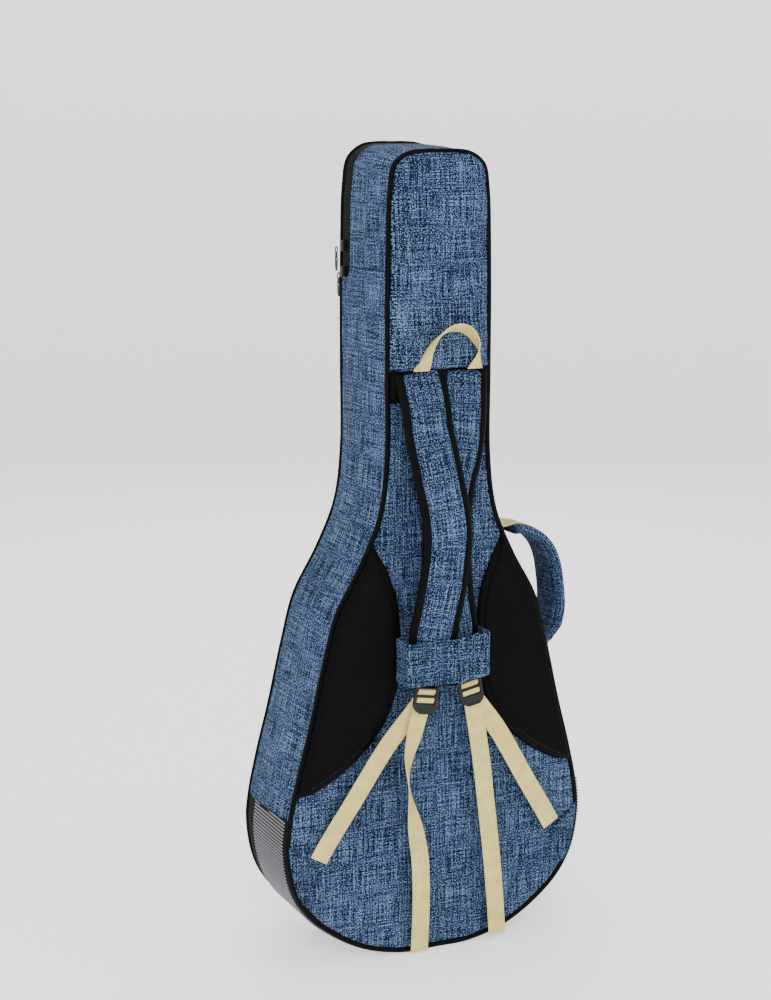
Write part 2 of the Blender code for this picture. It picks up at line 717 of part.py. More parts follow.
def main():
    clear_scene()
    collection("padded_gig_bag")
    edge = outline()

    panel_layers(-1, edge)
    gusset(edge)
    piping("back_piping", edge, BACK)
    upper_back(edge)
    mesh_pads(edge)
    anchors()
    shoulder_straps()
    webbing_tails()
    hang_loop()

    flap = strap_handle()
    hang_on("flap_hinge", FLAP_PIVOT, [flap])
    for name, (lock, pivot) in ladder_locks().items():
        hang_on(f"lock_hinge_{name}", pivot, [lock])
    hang_on("side_handle_hinge", HANDLE_PIVOT, side_handle(edge))
    strap = neck_rest()
    strap_y = BACK + PANEL_STACK + NECK_REST_DEPTH + 2 * GAP + NECK_STRAP_THICKNESS / 2
    hang_on("neck_strap_hinge", (NECK_STRAP_LEFT, strap_y, NECK_REST_Z), [strap])

    lid = panel_layers(1, edge)
    lid.append(zip_tapes(edge))
    lid.append(piping("front_piping", edge, FRONT))
    lid += front_pocket(edge)
    hang_on("lid_hinge", (LID_HINGE_BOTTOM + LID_HINGE_TOP) / 2, lid)
    slider, pull, pivot = pocket_slider(edge)
    hang_on("pocket_slide", slider.location, [slider])
    hang_on("pocket_pull_hinge", pivot, [pull])

    zip_x = -(HEAD_HALF_WIDTH - PIPING + bulge(ZIP)) - 2 * GAP
    for name, (z, reach) in MAIN_SLIDERS.items():
        slider, pull, pivot = slider_and_pull(name, zip_x, z, reach)
        hang_on(f"{name}_slide", slider.location, [slider])
        hang_on(f"{name}_pull_hinge", pivot, [pull])


main()
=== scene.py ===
import math

import bmesh
import bpy
import numpy as np
from mathutils import Matrix, Vector, noise


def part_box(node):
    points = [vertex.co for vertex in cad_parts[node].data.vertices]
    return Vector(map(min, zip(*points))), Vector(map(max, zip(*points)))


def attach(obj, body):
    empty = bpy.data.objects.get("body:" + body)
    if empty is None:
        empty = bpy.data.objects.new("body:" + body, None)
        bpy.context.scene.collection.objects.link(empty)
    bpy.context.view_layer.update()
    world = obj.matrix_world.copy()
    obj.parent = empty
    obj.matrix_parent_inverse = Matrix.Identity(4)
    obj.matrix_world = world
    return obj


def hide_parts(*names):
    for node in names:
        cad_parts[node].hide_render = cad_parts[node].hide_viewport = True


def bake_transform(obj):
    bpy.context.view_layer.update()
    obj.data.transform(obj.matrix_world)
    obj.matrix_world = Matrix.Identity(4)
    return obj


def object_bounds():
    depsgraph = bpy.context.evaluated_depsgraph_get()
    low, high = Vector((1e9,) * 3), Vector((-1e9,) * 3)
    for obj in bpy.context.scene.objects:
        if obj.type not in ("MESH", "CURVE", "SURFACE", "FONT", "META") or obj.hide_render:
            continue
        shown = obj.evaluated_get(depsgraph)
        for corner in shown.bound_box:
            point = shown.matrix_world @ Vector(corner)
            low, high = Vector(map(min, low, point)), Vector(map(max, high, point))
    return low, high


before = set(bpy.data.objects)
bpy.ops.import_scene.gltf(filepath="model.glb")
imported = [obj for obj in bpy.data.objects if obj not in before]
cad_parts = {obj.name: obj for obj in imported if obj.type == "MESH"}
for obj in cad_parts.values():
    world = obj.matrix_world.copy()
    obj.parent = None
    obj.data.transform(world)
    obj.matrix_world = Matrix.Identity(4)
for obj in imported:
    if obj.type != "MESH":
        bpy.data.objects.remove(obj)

bl_info = {
    "name": "Padded Gig Bag",
    "version": (1, 0, 0),
    "blender": (4, 5, 0),
    "location": "3D View > Sidebar > Gig Bag",
    "description": "Sews the covers, padding, webbing and zips of a guitar gig bag round its frame",
    "category": "Add Mesh",
}

CAD_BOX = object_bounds()
MM = 0.001

# Planes of the frame.
BACK = sum(corner.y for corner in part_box("back_piping")) / 2
FRONT = sum(corner.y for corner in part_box("front_piping")) / 2
MIDDLE_Y = (BACK + FRONT) / 2
DEPTH = FRONT - BACK
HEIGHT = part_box("back_piping")[1].z
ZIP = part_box("zip_tape_shell")[1].y
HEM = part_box("upper_back_pad")[0].z
YOKE_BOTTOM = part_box("strap_yoke")[0].z
LEVEL_SEAM = 0.203
FLARE_BOTTOM = 0.865
FLARE_TOP = 0.900
TAPE_END = 0.887

# Sizes of the sewn pieces.
PIPING = 0.0026
PIPING_WIDTH = 0.0072
ZIP_BAND = 0.036
BULGE = 0.006
CLOTH = 0.0012
PANEL_STACK = 0.0139
WEBBING = 0.025
WEBBING_THICKNESS = 0.0016
RIB_DEPTH = 0.00018
LOOP_WIDTH = 0.022
HANDLE_WIDTH, HANDLE_THICKNESS = 0.068, 0.0125
HANDLE_WEBBING = 0.038
STRAP_WIDTH, STRAP_THICKNESS, STRAP_BINDING = 0.068, 0.011, 0.0058
SLEEVE_TILT = 0.09
SLEEVE_CORNER = 0.007
POCKET_INSET = 0.022
POCKET_CORNERS = {"bottom": 0.045, "top": 0.024}
COIL = 0.0019
HINGE_CLOTH = 0.022
HEAD_LIFT = 0.0085
HEAD_LIFT_FROM = 0.96

# Half of the bag's outline, from the middle of the bottom round to the middle of the top (x, z in mm).
HALF_OUTLINE = [
    (0, 0), (48, 0.5), (105, 15), (155, 45), (187, 76), (206, 112), (214.8, 165), (211.5, 203),
    (199, 260), (183, 320), (161.6, 410), (144.6, 470), (111, 530), (85, 590), (75.2, 660),
    (74.6, 770), (74.5, 865), (74.2, 887), (74.0, 900), (73.4, 940), (71, 1000), (64.5, 1032),
    (45, 1046.5), (20, 1050), (0, 1050),
]

# Inner edge of a back mesh pad, from its upper tip to its lower tip (x, z in mm).
MESH_EDGE = [
    (91, 556), (74, 515), (62, 480), (57.5, 430), (60, 375), (72, 338), (92, 307), (128, 273),
    (171, 248), (202, 237),
]

# Middle of each shoulder strap's front face (x, distance out from the back, z in mm).
STRAP_PATHS = {
    "left": [
        (-32, 14, 774), (-27.5, 26, 735), (-26, 33, 700), (-17, 39, 650), (-4, 43, 573),
        (-8, 42, 514), (-16, 41, 470), (-25, 41, 432), (-31, 41, 392),
    ],
    "right": [
        (32.5, 10.5, 774), (27, 19, 704), (20, 23, 665), (10, 25, 630), (3, 26, 573),
        (5, 26, 514), (9, 25, 480), (16, 25, 435), (25, 25, 392),
    ],
}

# Middle of the hang loop's webbing, given in the same way.
HANG_LOOP = [
    (-34, 21, 776), (-29, 25, 795), (-16, 29, 817), (4, 30, 829), (24, 29, 827), (40, 27, 812),
    (46, 24, 794), (42, 20, 776),
]

# Side handle, outer face (x, z in mm), from its upper foot to its lower foot.
SIDE_HANDLE = [
    (109, 558), (135, 560), (165, 547), (182, 529), (192, 506), (197, 480), (200, 446),
    (196, 421), (189, 401), (182, 383),
]
HANDLE_Y = sum(corner.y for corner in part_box("side_handle_grip")) / 2

# Webbing below the buckles (x, distance out from the back, z in mm).
TAILS = {
    "left": [
        (-36, 31.3, 348), (-40, 30.5, 334), (-46, 28, 305), (-52, 25, 270), (-50, 23, 228), (-40, 20, 178),
        (-31, 16, 130), (-28, 13, 74), (-29, 10, 3),
    ],
    "right": [
        (35, 31.3, 350), (38, 30.5, 337), (52, 27, 262), (63, 21, 198), (74, 16, 127), (83, 12, 55),
        (87, 11, 8),
    ],
}

# Buckles: place of the middle (x, z in metres) and turn about the way they face.
BUCKLES = {"left": (-0.0335, 0.3555, 0.16), "right": (0.0315, 0.3590, -0.20)}
# Webbing from a buckle down to its corner tab, given like the tails.
ANCHOR_ROUTE = [
    (38, 27, 350), (47, 26, 338), (80, 20, 296), (126, 11, 222), (160, 5.5, 168), (171, 4.4, 149),
]


# Corner tab on the back: top, inner corner and bottom (distance from the middle, height, in metres).
TAB_TOP, TAB_CORNER, TAB_BOTTOM = (0.2145, 0.1755), (0.169, 0.138), (0.190, 0.088)
# Flap of the sleeve, from its lower free corner round (x, z in metres).
FLAP = [(0.0060, 0.3735), (0.0500, 0.3865), (0.0470, 0.4420), (0.0010, 0.4330)]


# ---- Settings a user would change ----

def colour_setting(name, description, default):
    """A colour as linear red, green and blue."""
    return bpy.props.FloatVectorProperty(
        name=name, description=description, subtype="COLOR", size=3, min=0, max=1, default=default
    )


def length_setting(name, description, default):
    """A size in metres."""
    return bpy.props.FloatProperty(
        name=name, description=description, default=default, min=0, unit="LENGTH", precision=4
    )


class BagColours(bpy.types.PropertyGroup):
    """Colours of the bag's finishes."""

    yarn_dark: colour_setting("Dark yarn", "Navy yarn of the canvas", (0.0008, 0.0026, 0.0105))
    yarn_mid: colour_setting("Blue yarn", "Middle blue yarn of the canvas", (0.0130, 0.0300, 0.0760))
    yarn_light: colour_setting("Light yarn", "Light yarn of the canvas", (0.1650, 0.2500, 0.4200))
    black: colour_setting("Black cloth", "Bindings, piping and zip tape", (0.0022, 0.0022, 0.0026))
    air_mesh: colour_setting("Air mesh", "Threads of the air mesh", (0.0130, 0.0120, 0.0125))
    webbing: colour_setting("Webbing", "Sand-coloured webbing", (0.950, 0.640, 0.220))
    bumper: colour_setting("Bumper", "Ribbed panel round the bottom", (0.170, 0.170, 0.184))
    lining: colour_setting("Lining", "Plush inside the bag", (0.050, 0.052, 0.058))
    plastic: colour_setting("Plastic", "Buckles", (0.006, 0.006, 0.007))
    metal: colour_setting("Metal", "Zip sliders and pulls", (0.030, 0.030, 0.032))
    floor: colour_setting("Floor", "Studio floor", (0.93, 0.93, 0.93))


class BagSizes(bpy.types.PropertyGroup):
    """Sizes of the sewn details."""

    back_crown: length_setting("Back crown", "How far the back panel stands out", 0.0035)
    front_crown: length_setting("Front crown", "How far the front panel stands out", 0.0040)
    pad_rise: length_setting("Pad rise", "Thickness of the upper back pad", 0.0090)
    hem_rise: length_setting("Hem rise", "How far the pad stands out where it covers the straps", 0.0115)
    mesh_rise: length_setting("Mesh pad rise", "Thickness of the air-mesh pads", 0.0090)
    mesh_pitch: length_setting("Mesh pitch", "Distance between two holes of the air mesh", 0.0033)
    rib_pitch: length_setting("Rib pitch", "Distance between two ribs of the bumper", 0.0044)
    tooth_pitch: length_setting("Tooth pitch", "Distance between two zip teeth", 0.0021)
    stitch: length_setting("Stitch", "Length of one stitch", 0.0030)
    stitch_pitch: length_setting("Stitch pitch", "Distance between two stitches", 0.0044)
    cap: length_setting("Most puff", "How far the cloth may move under pressure", 0.0050)


# ---- Shader expressions ----

class Wire:
    """A socket of a material on which Python's operators add Math nodes."""

    def __init__(self, look, socket):
        self.look = look
        self.socket = socket

    def maths(self, operation, *others):
        inputs = dict(enumerate((self, *others)))
        return self.look.node("ShaderNodeMath", {"operation": operation}, inputs).outputs[0]

    def __add__(self, other):
        return self.look.wire(self.maths("ADD", other))

    def __sub__(self, other):
        return self.look.wire(self.maths("SUBTRACT", other))

    def __rsub__(self, other):
        return self * -1 + other

    def __mul__(self, other):
        return self.look.wire(self.maths("MULTIPLY", other))

    def wave(self, length):
        """A sine from 0 to 1 with this wavelength."""
        turns = self * (math.tau / length)
        return self.look.wire(turns.maths("SINE")) * 0.5 + 0.5

    def kept(self):
        """The value held between 0 and 1."""
        node = self.look.node("ShaderNodeClamp", {}, {0: self})
        return self.look.wire(node.outputs[0])

    __radd__ = __add__
    __rmul__ = __mul__


class Look:
    """A material built from one Principled shader."""

    def __init__(self, name, roughness, metallic=0.0, on_cloth=True):
        self.material = bpy.data.materials.new(name)
        self.material.use_nodes = True
        self.tree = self.material.node_tree
        self.shader = self.tree.nodes["Principled BSDF"]
        self.set("Roughness", roughness)
        self.set("Metallic", metallic)
        if on_cloth:
            place = self.node("ShaderNodeUVMap", {"uv_map": "cloth"}).outputs[0]
        else:
            place = self.node("ShaderNodeTexCoord").outputs["Object"]
        self.place = self.wire(place)
        parts = self.node("ShaderNodeSeparateXYZ", {}, {0: self.place})
        self.u, self.v, self.w = (self.wire(socket) for socket in parts.outputs)

    def wire(self, socket):
        return Wire(self, socket)

    def node(self, kind, settings=None, inputs=None):
        made = self.tree.nodes.new(kind)
        for name, value in (settings or {}).items():
            setattr(made, name, value)
        for key, value in (inputs or {}).items():
            self.feed(made.inputs[key], value)
        return made

    def feed(self, socket, value):
        if isinstance(value, Wire):
            self.tree.links.new(value.socket, socket)
        else:
            socket.default_value = value

    def set(self, name, value):
        self.feed(self.shader.inputs[name], value)

    def noise(self, scale, detail=2.0, roughness=0.5):
        """Noise from 0 to 1. scale is how many grains there are to a metre, along u, v and w."""
        stretched = self.node(
            "ShaderNodeVectorMath", {"operation": "MULTIPLY"}, {0: self.place, 1: scale}
        ).outputs[0]
        inputs = {"Vector": self.wire(stretched), "Scale": 1.0, "Detail": detail, "Roughness": roughness}
        return self.wire(self.node("ShaderNodeTexNoise", {}, inputs).outputs[0])

    def mix(self, amount, first, second):
        inputs = {0: amount, 6: opaque(first), 7: opaque(second)}
        return self.wire(self.node("ShaderNodeMix", {"data_type": "RGBA"}, inputs).outputs[2])

    def bump(self, height, strength, distance):
        inputs = {"Height": height, "Strength": strength, "Distance": distance}
        self.set("Normal", self.wire(self.node("ShaderNodeBump", {}, inputs).outputs[0]))


def opaque(colour):
    return colour if isinstance(colour, Wire) else (*colour[:3], 1.0)


def shade(colour, share):
    return tuple(channel * share for channel in colour)


def denim_look(name, light=1.0):
    """Heathered canvas: light and navy yarns in a fine twill, with slubs along both threads."""
    # light scales all three yarn colours: below 1 it makes a darker, painted-shade copy of the same canvas.
    colours = bpy.context.scene.gig_bag_colours
    look = Look(name, 0.86)
    warp = look.noise((820, 450, 600), 1.0, 0.5)
    weft = look.noise((450, 860, 600), 1.0, 0.5)
    slub = look.noise((620, 22, 60), 2.0)
    cross_slub = look.noise((18, 620, 60), 2.0)
    broad = look.noise((11, 8, 9), 2.0)
    twill = (look.u * 0.9 + look.v).wave(0.0029)
    yarn = (warp - 0.5) * 3.4 + (weft - 0.5) * 2.8 + (slub - 0.5) * 2.3 + (cross_slub - 0.5) * 1.8
    tone = (yarn + (twill - 0.5) * 0.40 + (broad - 0.5) * 0.45 + 0.37).kept()
    low = look.mix((tone * 2).kept(), shade(colours.yarn_dark, light), shade(colours.yarn_mid, light))
    full = look.mix((tone * 2 - 1).kept(), low, shade(colours.yarn_light, light))
    look.set("Base Color", full)
    look.set("Roughness", 0.92 - tone * 0.14)
    look.set("Specular IOR Level", 0.06)
    look.bump(tone * 0.6 + twill * 0.4, 0.55, 0.0005)
    return look.material


def binding_look(name, roughness=0.55):
    """Black ribbed tape with a low sheen."""
    black = bpy.context.scene.gig_bag_colours.black
    look = Look(name, roughness)
    ribs = look.v.wave(0.0013)
    wear = look.noise((60, 200, 60), 3.0)
    look.set("Base Color", look.mix((wear * ribs).kept(), shade(black, 0.6), shade(black, 2.4)))
    look.set("Roughness", wear * 0.25 + (roughness - 0.12))
    look.set("Specular IOR Level", 0.05)
    look.bump(ribs * 0.7 + look.noise((900, 900, 900)) * 0.3, 0.4, 0.0003)
    return look.material


def air_mesh_look(name, share):
    """Spacer mesh, knitted from fine black threads."""
    # share scales the thread colour: the mesh ground at 0.22 is a painted-shade copy that darkens the holes,
    # the threads at 1.0 have their own colour.
    colour = bpy.context.scene.gig_bag_colours.air_mesh
    look = Look(name, 0.72)
    thread = look.u.wave(0.0009) * look.v.wave(0.0009)
    dust = look.noise((30, 30, 30), 3.0)
    tone = (thread * 0.5 + dust * 0.5).kept()
    look.set("Base Color", look.mix(tone, shade(colour, share * 0.5), shade(colour, share * 1.4)))
    look.set("Specular IOR Level", 0.04)
    look.bump(thread, 0.4, 0.0003)
    return look.material


def webbing_look(name):
    """Flat webbing: ribs lie lengthwise, and the weave crosses them in short steps."""
    colour = bpy.context.scene.gig_bag_colours.webbing
    look = Look(name, 0.8)
    ribs = look.u.wave(0.0025)
    steps = (look.v + ribs * 0.0007).wave(0.0022)
    weave = ribs * 0.55 + steps * 0.45
    dirt = look.noise((25, 60, 40), 3.0)
    tone = (weave * 1.4 + (dirt - 0.5) * 0.8 - 0.12).kept()
    brightest = [min(0.97, channel * 1.3) for channel in colour]
    look.set("Base Color", look.mix(tone, shade(colour, 0.30), brightest))
    look.set("Roughness", 0.9 - tone * 0.16)
    look.set("Specular IOR Level", 0.2)
    look.bump(weave, 0.8, 0.0006)
    return look.material


def bumper_look(name, share):
    """Grey woven panel and the raised ribs on it."""
    # share scales the grey: the bumper ground at 0.05 is a painted-shade copy for the dark gaps between the
    # ribs, the ribs at 1.15 have the panel's grey.
    colour = bpy.context.scene.gig_bag_colours.bumper
    look = Look(name, 0.62, on_cloth=False)
    grain = look.noise((420, 520, 520), 2.0)
    beads = look.v.wave(0.0029) * 0.6 + grain * 0.4
    look.set("Base Color", look.mix(beads.kept(), shade(colour, share * 0.45), shade(colour, share * 1.5)))
    look.set("Roughness", 0.72 - beads * 0.2)
    look.set("Specular IOR Level", 0.08)
    look.bump(beads, 0.6, 0.0005)
    return look.material


def plush_look(name):
    """Soft dark pile."""
    colour = bpy.context.scene.gig_bag_colours.lining
    look = Look(name, 0.95, on_cloth=False)
    pile = look.noise((700, 700, 700), 2.0)
    laid = look.noise((14, 14, 9), 3.0)
    tone = (pile * 0.4 + laid * 0.6).kept()
    look.set("Base Color", look.mix(tone, shade(colour, 0.55), shade(colour, 1.6)))
    look.set("Sheen Weight", 0.5)
    look.set("Sheen Roughness", 0.6)
    look.bump(pile, 0.5, 0.0006)
    return look.material


def hard_look(name, colour, roughness, metallic=0.0):
    """Moulded plastic or coated metal, with handling marks."""
    look = Look(name, roughness, metallic, on_cloth=False)
    grain = look.noise((900, 900, 900), 2.0)
    marks = look.noise((70, 70, 160), 4.0, 0.7)
    look.set("Base Color", look.mix(marks, shade(colour, 0.7), shade(colour, 1.5)))
    look.set("Roughness", marks * 0.3 + (roughness - 0.15))
    look.set("Specular IOR Level", 0.28)
    look.bump(grain, 0.2, 0.0002)
    return look.material


def thread_look(name, colour):
    """Twisted sewing thread."""
    look = Look(name, 0.7, on_cloth=False)
    twist = look.noise((500, 500, 900), 2.0)
    look.set("Base Color", look.mix(twist, shade(colour, 0.6), shade(colour, 1.3)))
    look.set("Roughness", 0.8 - twist * 0.2)
    look.bump(twist, 0.3, 0.0002)
    return look.material


def look_named(name):
    """The material of this name, made on its first use."""
    if name in bpy.data.materials:
        return bpy.data.materials[name]
    colours = bpy.context.scene.gig_bag_colours
    makers = {
        "canvas": lambda: denim_look(name),
        # The side canvas is the canvas at 0.96: painted shade on the gusset, hinge cloth, sleeve flap and
        # pocket walls.
        "canvas_side_painted_shade": lambda: denim_look(name, 0.96),
        # The dark canvas is the canvas at 0.75: painted shade on the corner tabs and along the side seam.
        "canvas_dark_painted_shade": lambda: denim_look(name, 0.75),
        "bound_cloth": lambda: binding_look(name),
        "black_piping": lambda: binding_look(name, 0.42),
        "zip_tape": lambda: binding_look(name, 0.7),
        # The mesh ground is the air-mesh colour at 0.22: painted shade inside the holes under the knit.
        "mesh_ground_painted_shade": lambda: air_mesh_look(name, 0.22),
        "mesh_threads": lambda: air_mesh_look(name, 1.0),
        "sand_webbing": lambda: webbing_look(name),
        # The bumper ground is the grey at 0.05: painted shade in the gaps between the ribs.
        "bumper_ground_painted_shade": lambda: bumper_look(name, 0.05),
        "bumper_ribs": lambda: bumper_look(name, 1.15),
        "plush_pile": lambda: plush_look(name),
        "moulded_plastic": lambda: hard_look(name, colours.plastic, 0.42),
        "coated_metal": lambda: hard_look(name, colours.metal, 0.34, 0.6),
        "blue_thread": lambda: thread_look(name, colours.yarn_mid),
        "pale_thread": lambda: thread_look(name, (0.42, 0.36, 0.27)),
        "black_thread": lambda: thread_look(name, (0.02, 0.02, 0.022)),
    }
    return makers[name]()


# ---- Paths ----

def smooth(points, steps=6):
    """A centripetal Catmull-Rom curve through the points, with this many steps a span."""
    knots = [Vector(p) for p in points]
    knots = [2 * knots[0] - knots[1], *knots, 2 * knots[-1] - knots[-2]]
    path = []
    for i in range(len(knots) - 3):
        near = knots[i:i + 4]
        times = [0.0]
        for a, b in zip(near, near[1:]):
            times.append(times[-1] + (b - a).length ** 0.5)
        for step in range(steps):
            path.append(between_knots(near, times, times[1] + (times[2] - times[1]) * step / steps))
    path.append(knots[-2])
    return path


def between_knots(near, times, now):
    """A place on the curve between the middle two of four knots."""
    def mix(a, b, start, end):
        return a + (b - a) * ((now - times[start]) / (times[end] - times[start]))

    first = [mix(near[i], near[i + 1], i, i + 1) for i in range(3)]
    second = [mix(first[i], first[i + 1], i, i + 2) for i in range(2)]
    return mix(*second, 1, 2)


def offset(path, distance, closed=True):
    """The path in x, z moved outwards, square to its own direction."""
    moved = []
    for i, point in enumerate(path):
        before = path[i - 1] if closed or i else point
        after = path[(i + 1) % len(path)] if closed or i + 1 < len(path) else point
        along = (after - before).normalized()
        moved.append(point + Vector((along.y, -along.x)) * distance)
    return moved


def in_metres(points):
    return [Vector(p) * MM for p in points]


def outline(steps=6):
    """The middle of the piping as a closed path in x, z, counter-clockwise from the strap side."""
    right = smooth(in_metres(HALF_OUTLINE), steps)
    left = [Vector((-p.x, p.y)) for p in reversed(right[1:-1])]
    return offset(right + left, -PIPING)


EDGE = outline()
RIGHT_HALF = EDGE[:len(EDGE) // 2 + 1]


def half_width(height, inset=0.0):
    """Half the bag's width at a height."""
    heights = [p.y for p in RIGHT_HALF[1:-1]]
    widths = [p.x for p in RIGHT_HALF[1:-1]]
    return float(np.interp(height, heights, widths)) - inset


def stretch_of(first, last):
    """The indexes of the outline between two places, each a side (-1 or 1) and a height."""
    def nearest(place):
        side, height = place
        near = (i for i, p in enumerate(EDGE) if p.x * side > 0)
        return min(near, key=lambda i: abs(EDGE[i].y - height))

    start, stop = nearest(first), nearest(last)
    count = (stop - start) % len(EDGE) + 1
    return [(start + k) % len(EDGE) for k in range(count)]


def at_back(x, out, z):
    """A place given in millimetres, with its distance out from the back panel."""
    return Vector((x * MM, BACK - out * MM, z * MM))


def bulge(y):
    return BULGE * (1 - ((y - MIDDLE_Y) / (DEPTH / 2)) ** 2)


def on_gusset(index, y, lift=0.0):
    """A place on the side of the bag, at this depth."""
    point = EDGE[index]
    ahead = EDGE[(index + 1) % len(EDGE)] - EDGE[index - 1]
    normal = Vector((ahead.y, -ahead.x)).normalized()
    place = point + normal * (bulge(y) * abs(normal.x) + lift)
    return Vector((place.x, y, place.y)), Vector((normal.x, 0, normal.y))


def length_of(path):
    return sum((b - a).length for a, b in zip(path, path[1:]))


# ---- Meshes ----

def lifted(points):
    """The places with the head's top raised towards the lid, where the soft side stands up."""
    moved = np.array([tuple(p) for p in points], float)
    depth = np.clip((moved[:, 1] - BACK) / DEPTH, 0, 1)
    near_top = np.clip((moved[:, 2] - HEAD_LIFT_FROM) / (HEIGHT - HEAD_LIFT_FROM), 0, 1)
    moved[:, 2] += HEAD_LIFT * near_top ** 2 * np.sin(depth * math.pi / 2)
    return moved


def piece(name, points, faces, uvs, look, smooth_angle=50):
    """A mesh object in the bag, with UVs in metres and its faces pointing out."""
    mesh = bpy.data.meshes.new(name)
    mesh.from_pydata(lifted(points), [], faces)
    layer = mesh.uv_layers.new(name="cloth")
    layer.data.foreach_set("uv", np.array(uvs, float).ravel())
    shell = bmesh.new()
    shell.from_mesh(mesh)
    bmesh.ops.remove_doubles(shell, verts=shell.verts, dist=1e-6)
    bmesh.ops.recalc_face_normals(shell, faces=shell.faces)
    shell.to_mesh(mesh)
    shell.free()
    mesh.shade_smooth()
    mesh.set_sharp_from_angle(angle=math.radians(smooth_angle))
    mesh.materials.append(look_named(look))
    obj = bpy.data.objects.new(name, mesh)
    bpy.context.scene.collection.objects.link(obj)
    return obj


def loft(name, loops, look, ring=False):
    """A skin over cross-sections, each a list of places round it. u runs round and v along."""
    points = np.array([[tuple(p) for p in loop] for loop in loops])
    count, across = points.shape[:2]
    centres = points.mean(axis=1)
    steps = np.linalg.norm(np.diff(np.vstack([centres, centres[:1]]), axis=0), axis=1)
    along = np.concatenate([[0], np.cumsum(steps)])
    widest = points[count // 2]
    sides = np.linalg.norm(np.diff(np.vstack([widest, widest[:1]]), axis=0), axis=1)
    around = np.concatenate([[0], np.cumsum(sides)])
    faces, uvs = [], []
    for i in range(count if ring else count - 1):
        j = (i + 1) % count
        for k in range(across):
            m = (k + 1) % across
            faces.append((i * across + k, i * across + m, j * across + m, j * across + k))
            uvs += [
                (around[k], along[i]), (around[k + 1], along[i]),
                (around[k + 1], along[i + 1]), (around[k], along[i + 1]),
            ]
    if not ring:
        for row in (0, count - 1):
            faces.append(tuple(row * across + k for k in range(across)))
            uvs += [(around[k], along[row]) for k in range(across)]
    return piece(name, points.reshape(-1, 3), faces, uvs, look)


def round_section(radius, count=10, flat=1.0):
    """Places round a circle, or round an ellipse where flat is under 1."""
    turns = [math.tau * k / count for k in range(count)]
    return [(radius * math.cos(turn), flat * radius * math.sin(turn)) for turn in turns]


def webbing_section(width, thickness, ribs=5):
    """Both faces of a flat webbing, ribbed lengthwise, with rounded edges."""
    columns = ribs * 6
    top = []
    for k in range(columns + 1):
        share = k / columns
        x = (share - 0.5) * width
        edge = min(1.0, min(share, 1 - share) * width / (thickness * 0.6))
        y = thickness / 2 * math.sqrt(max(0.12, edge * (2 - edge)))
        y += RIB_DEPTH * (abs(math.sin(math.pi * ribs * share)) - 0.6)
        top.append((x, y))
    return top + [(x, -y) for x, y in reversed(top)]


def pad_section(width, thickness, columns=12, power=2.6):
    """A stuffed strap, full in the middle and sewn flat at its edges."""
    top = []
    for k in range(columns + 1):
        x = -math.cos(math.pi * k / columns)
        y = thickness / 2 * max(0.0, 1 - abs(x) ** power) ** 0.6 + 0.0008
        top.append((x * width / 2, y))
    return top + [(x, -y) for x, y in reversed(top)]


def swept(path, section, sides=None, facing=Vector((0, -1, 0)), ring=False, widths=None):
    """Copies of a section (x across, y outwards) along a path."""
    loops = []
    for i, point in enumerate(path):
        before = path[i - 1] if ring or i else point
        after = path[(i + 1) % len(path)] if ring or i + 1 < len(path) else point
        along = (after - before).normalized()
        across = (sides[i] if sides else along.cross(facing)).normalized()
        outward = across.cross(along).normalized()
        if outward.dot(facing) < 0 and not sides:
            outward = -outward
        share = widths[i] if widths else 1.0
        loops.append([point + across * (x * share) + outward * y for x, y in section])
    return loops


def tube(name, path, radius, look, ring=False, flat=1.0, facing=Vector((0, -1, 0)), count=10):
    return loft(name, swept(path, round_section(radius, count, flat), facing=facing, ring=ring), look, ring)


def crown(distance, radius):
    """A rounded rise from 0 at the rim to 1 at this distance from it."""
    share = np.clip(np.asarray(distance) / radius, 0, 1)
    return np.sqrt(1 - (1 - share) ** 2)


def rim_distance(grid, rim):
    """How far each place of a grid lies from a closed rim, both in x, z."""
    flat = grid.reshape(-1, 2)
    start = np.array([tuple(p) for p in rim])
    step = np.roll(start, -1, axis=0) - start
    size = np.maximum((step ** 2).sum(axis=1), 1e-12)
    best = np.full(len(flat), 1e9)
    for a, d, s in zip(start, step, size):
        t = np.clip(((flat - a) @ d) / s, 0, 1)
        best = np.minimum(best, np.linalg.norm(flat - a - t[:, None] * d, axis=1))
    return best.reshape(grid.shape[:2])


def rows_between(pairs, columns):
    """A grid in x, z between pairs of left and right places, closer together near the sides."""
    shares = [(1 - math.cos(math.pi * k / columns)) / 2 for k in range(columns + 1)]
    mixed = [0.65 * share + 0.35 * k / columns for k, share in enumerate(shares)]
    return np.array([[tuple(a + (b - a) * t) for t in mixed] for a, b in pairs])


def rim_of(grid):
    return [*grid[0], *grid[1:, -1], *grid[-1, ::-1][1:], *grid[::-1, 0][1:-1]]


def pad(name, grid, y, height, look, side=-1):
    """A closed pad on a grid in x, z: flat at y, and standing out by height."""
    rows, columns = grid.shape[:2]
    outer = np.dstack([grid[:, :, 0], y + side * height, grid[:, :, 1]])
    inner = np.dstack([grid[:, :, 0], np.full(height.shape, y), grid[:, :, 1]])
    points = np.vstack([outer.reshape(-1, 3), inner.reshape(-1, 3)])
    flat = np.vstack([grid.reshape(-1, 2)] * 2)
    faces = []
    for base in (0, rows * columns):
        for i in range(rows - 1):
            for k in range(columns - 1):
                a = base + i * columns + k
                quad = (a, a + 1, a + columns + 1, a + columns)
                faces.append(quad if base == 0 else quad[::-1])
    rim = [i * columns + k for i, k in rim_indexes(rows, columns)]
    below = rows * columns
    for a, b in zip(rim, rim[1:] + rim[:1]):
        faces.append((a, b, b + below, a + below))
    uvs = [flat[i] for face in faces for i in face]
    made = piece(name, points, faces, uvs, look, smooth_angle=60)
    bpy.context.view_layer.update()
    return made


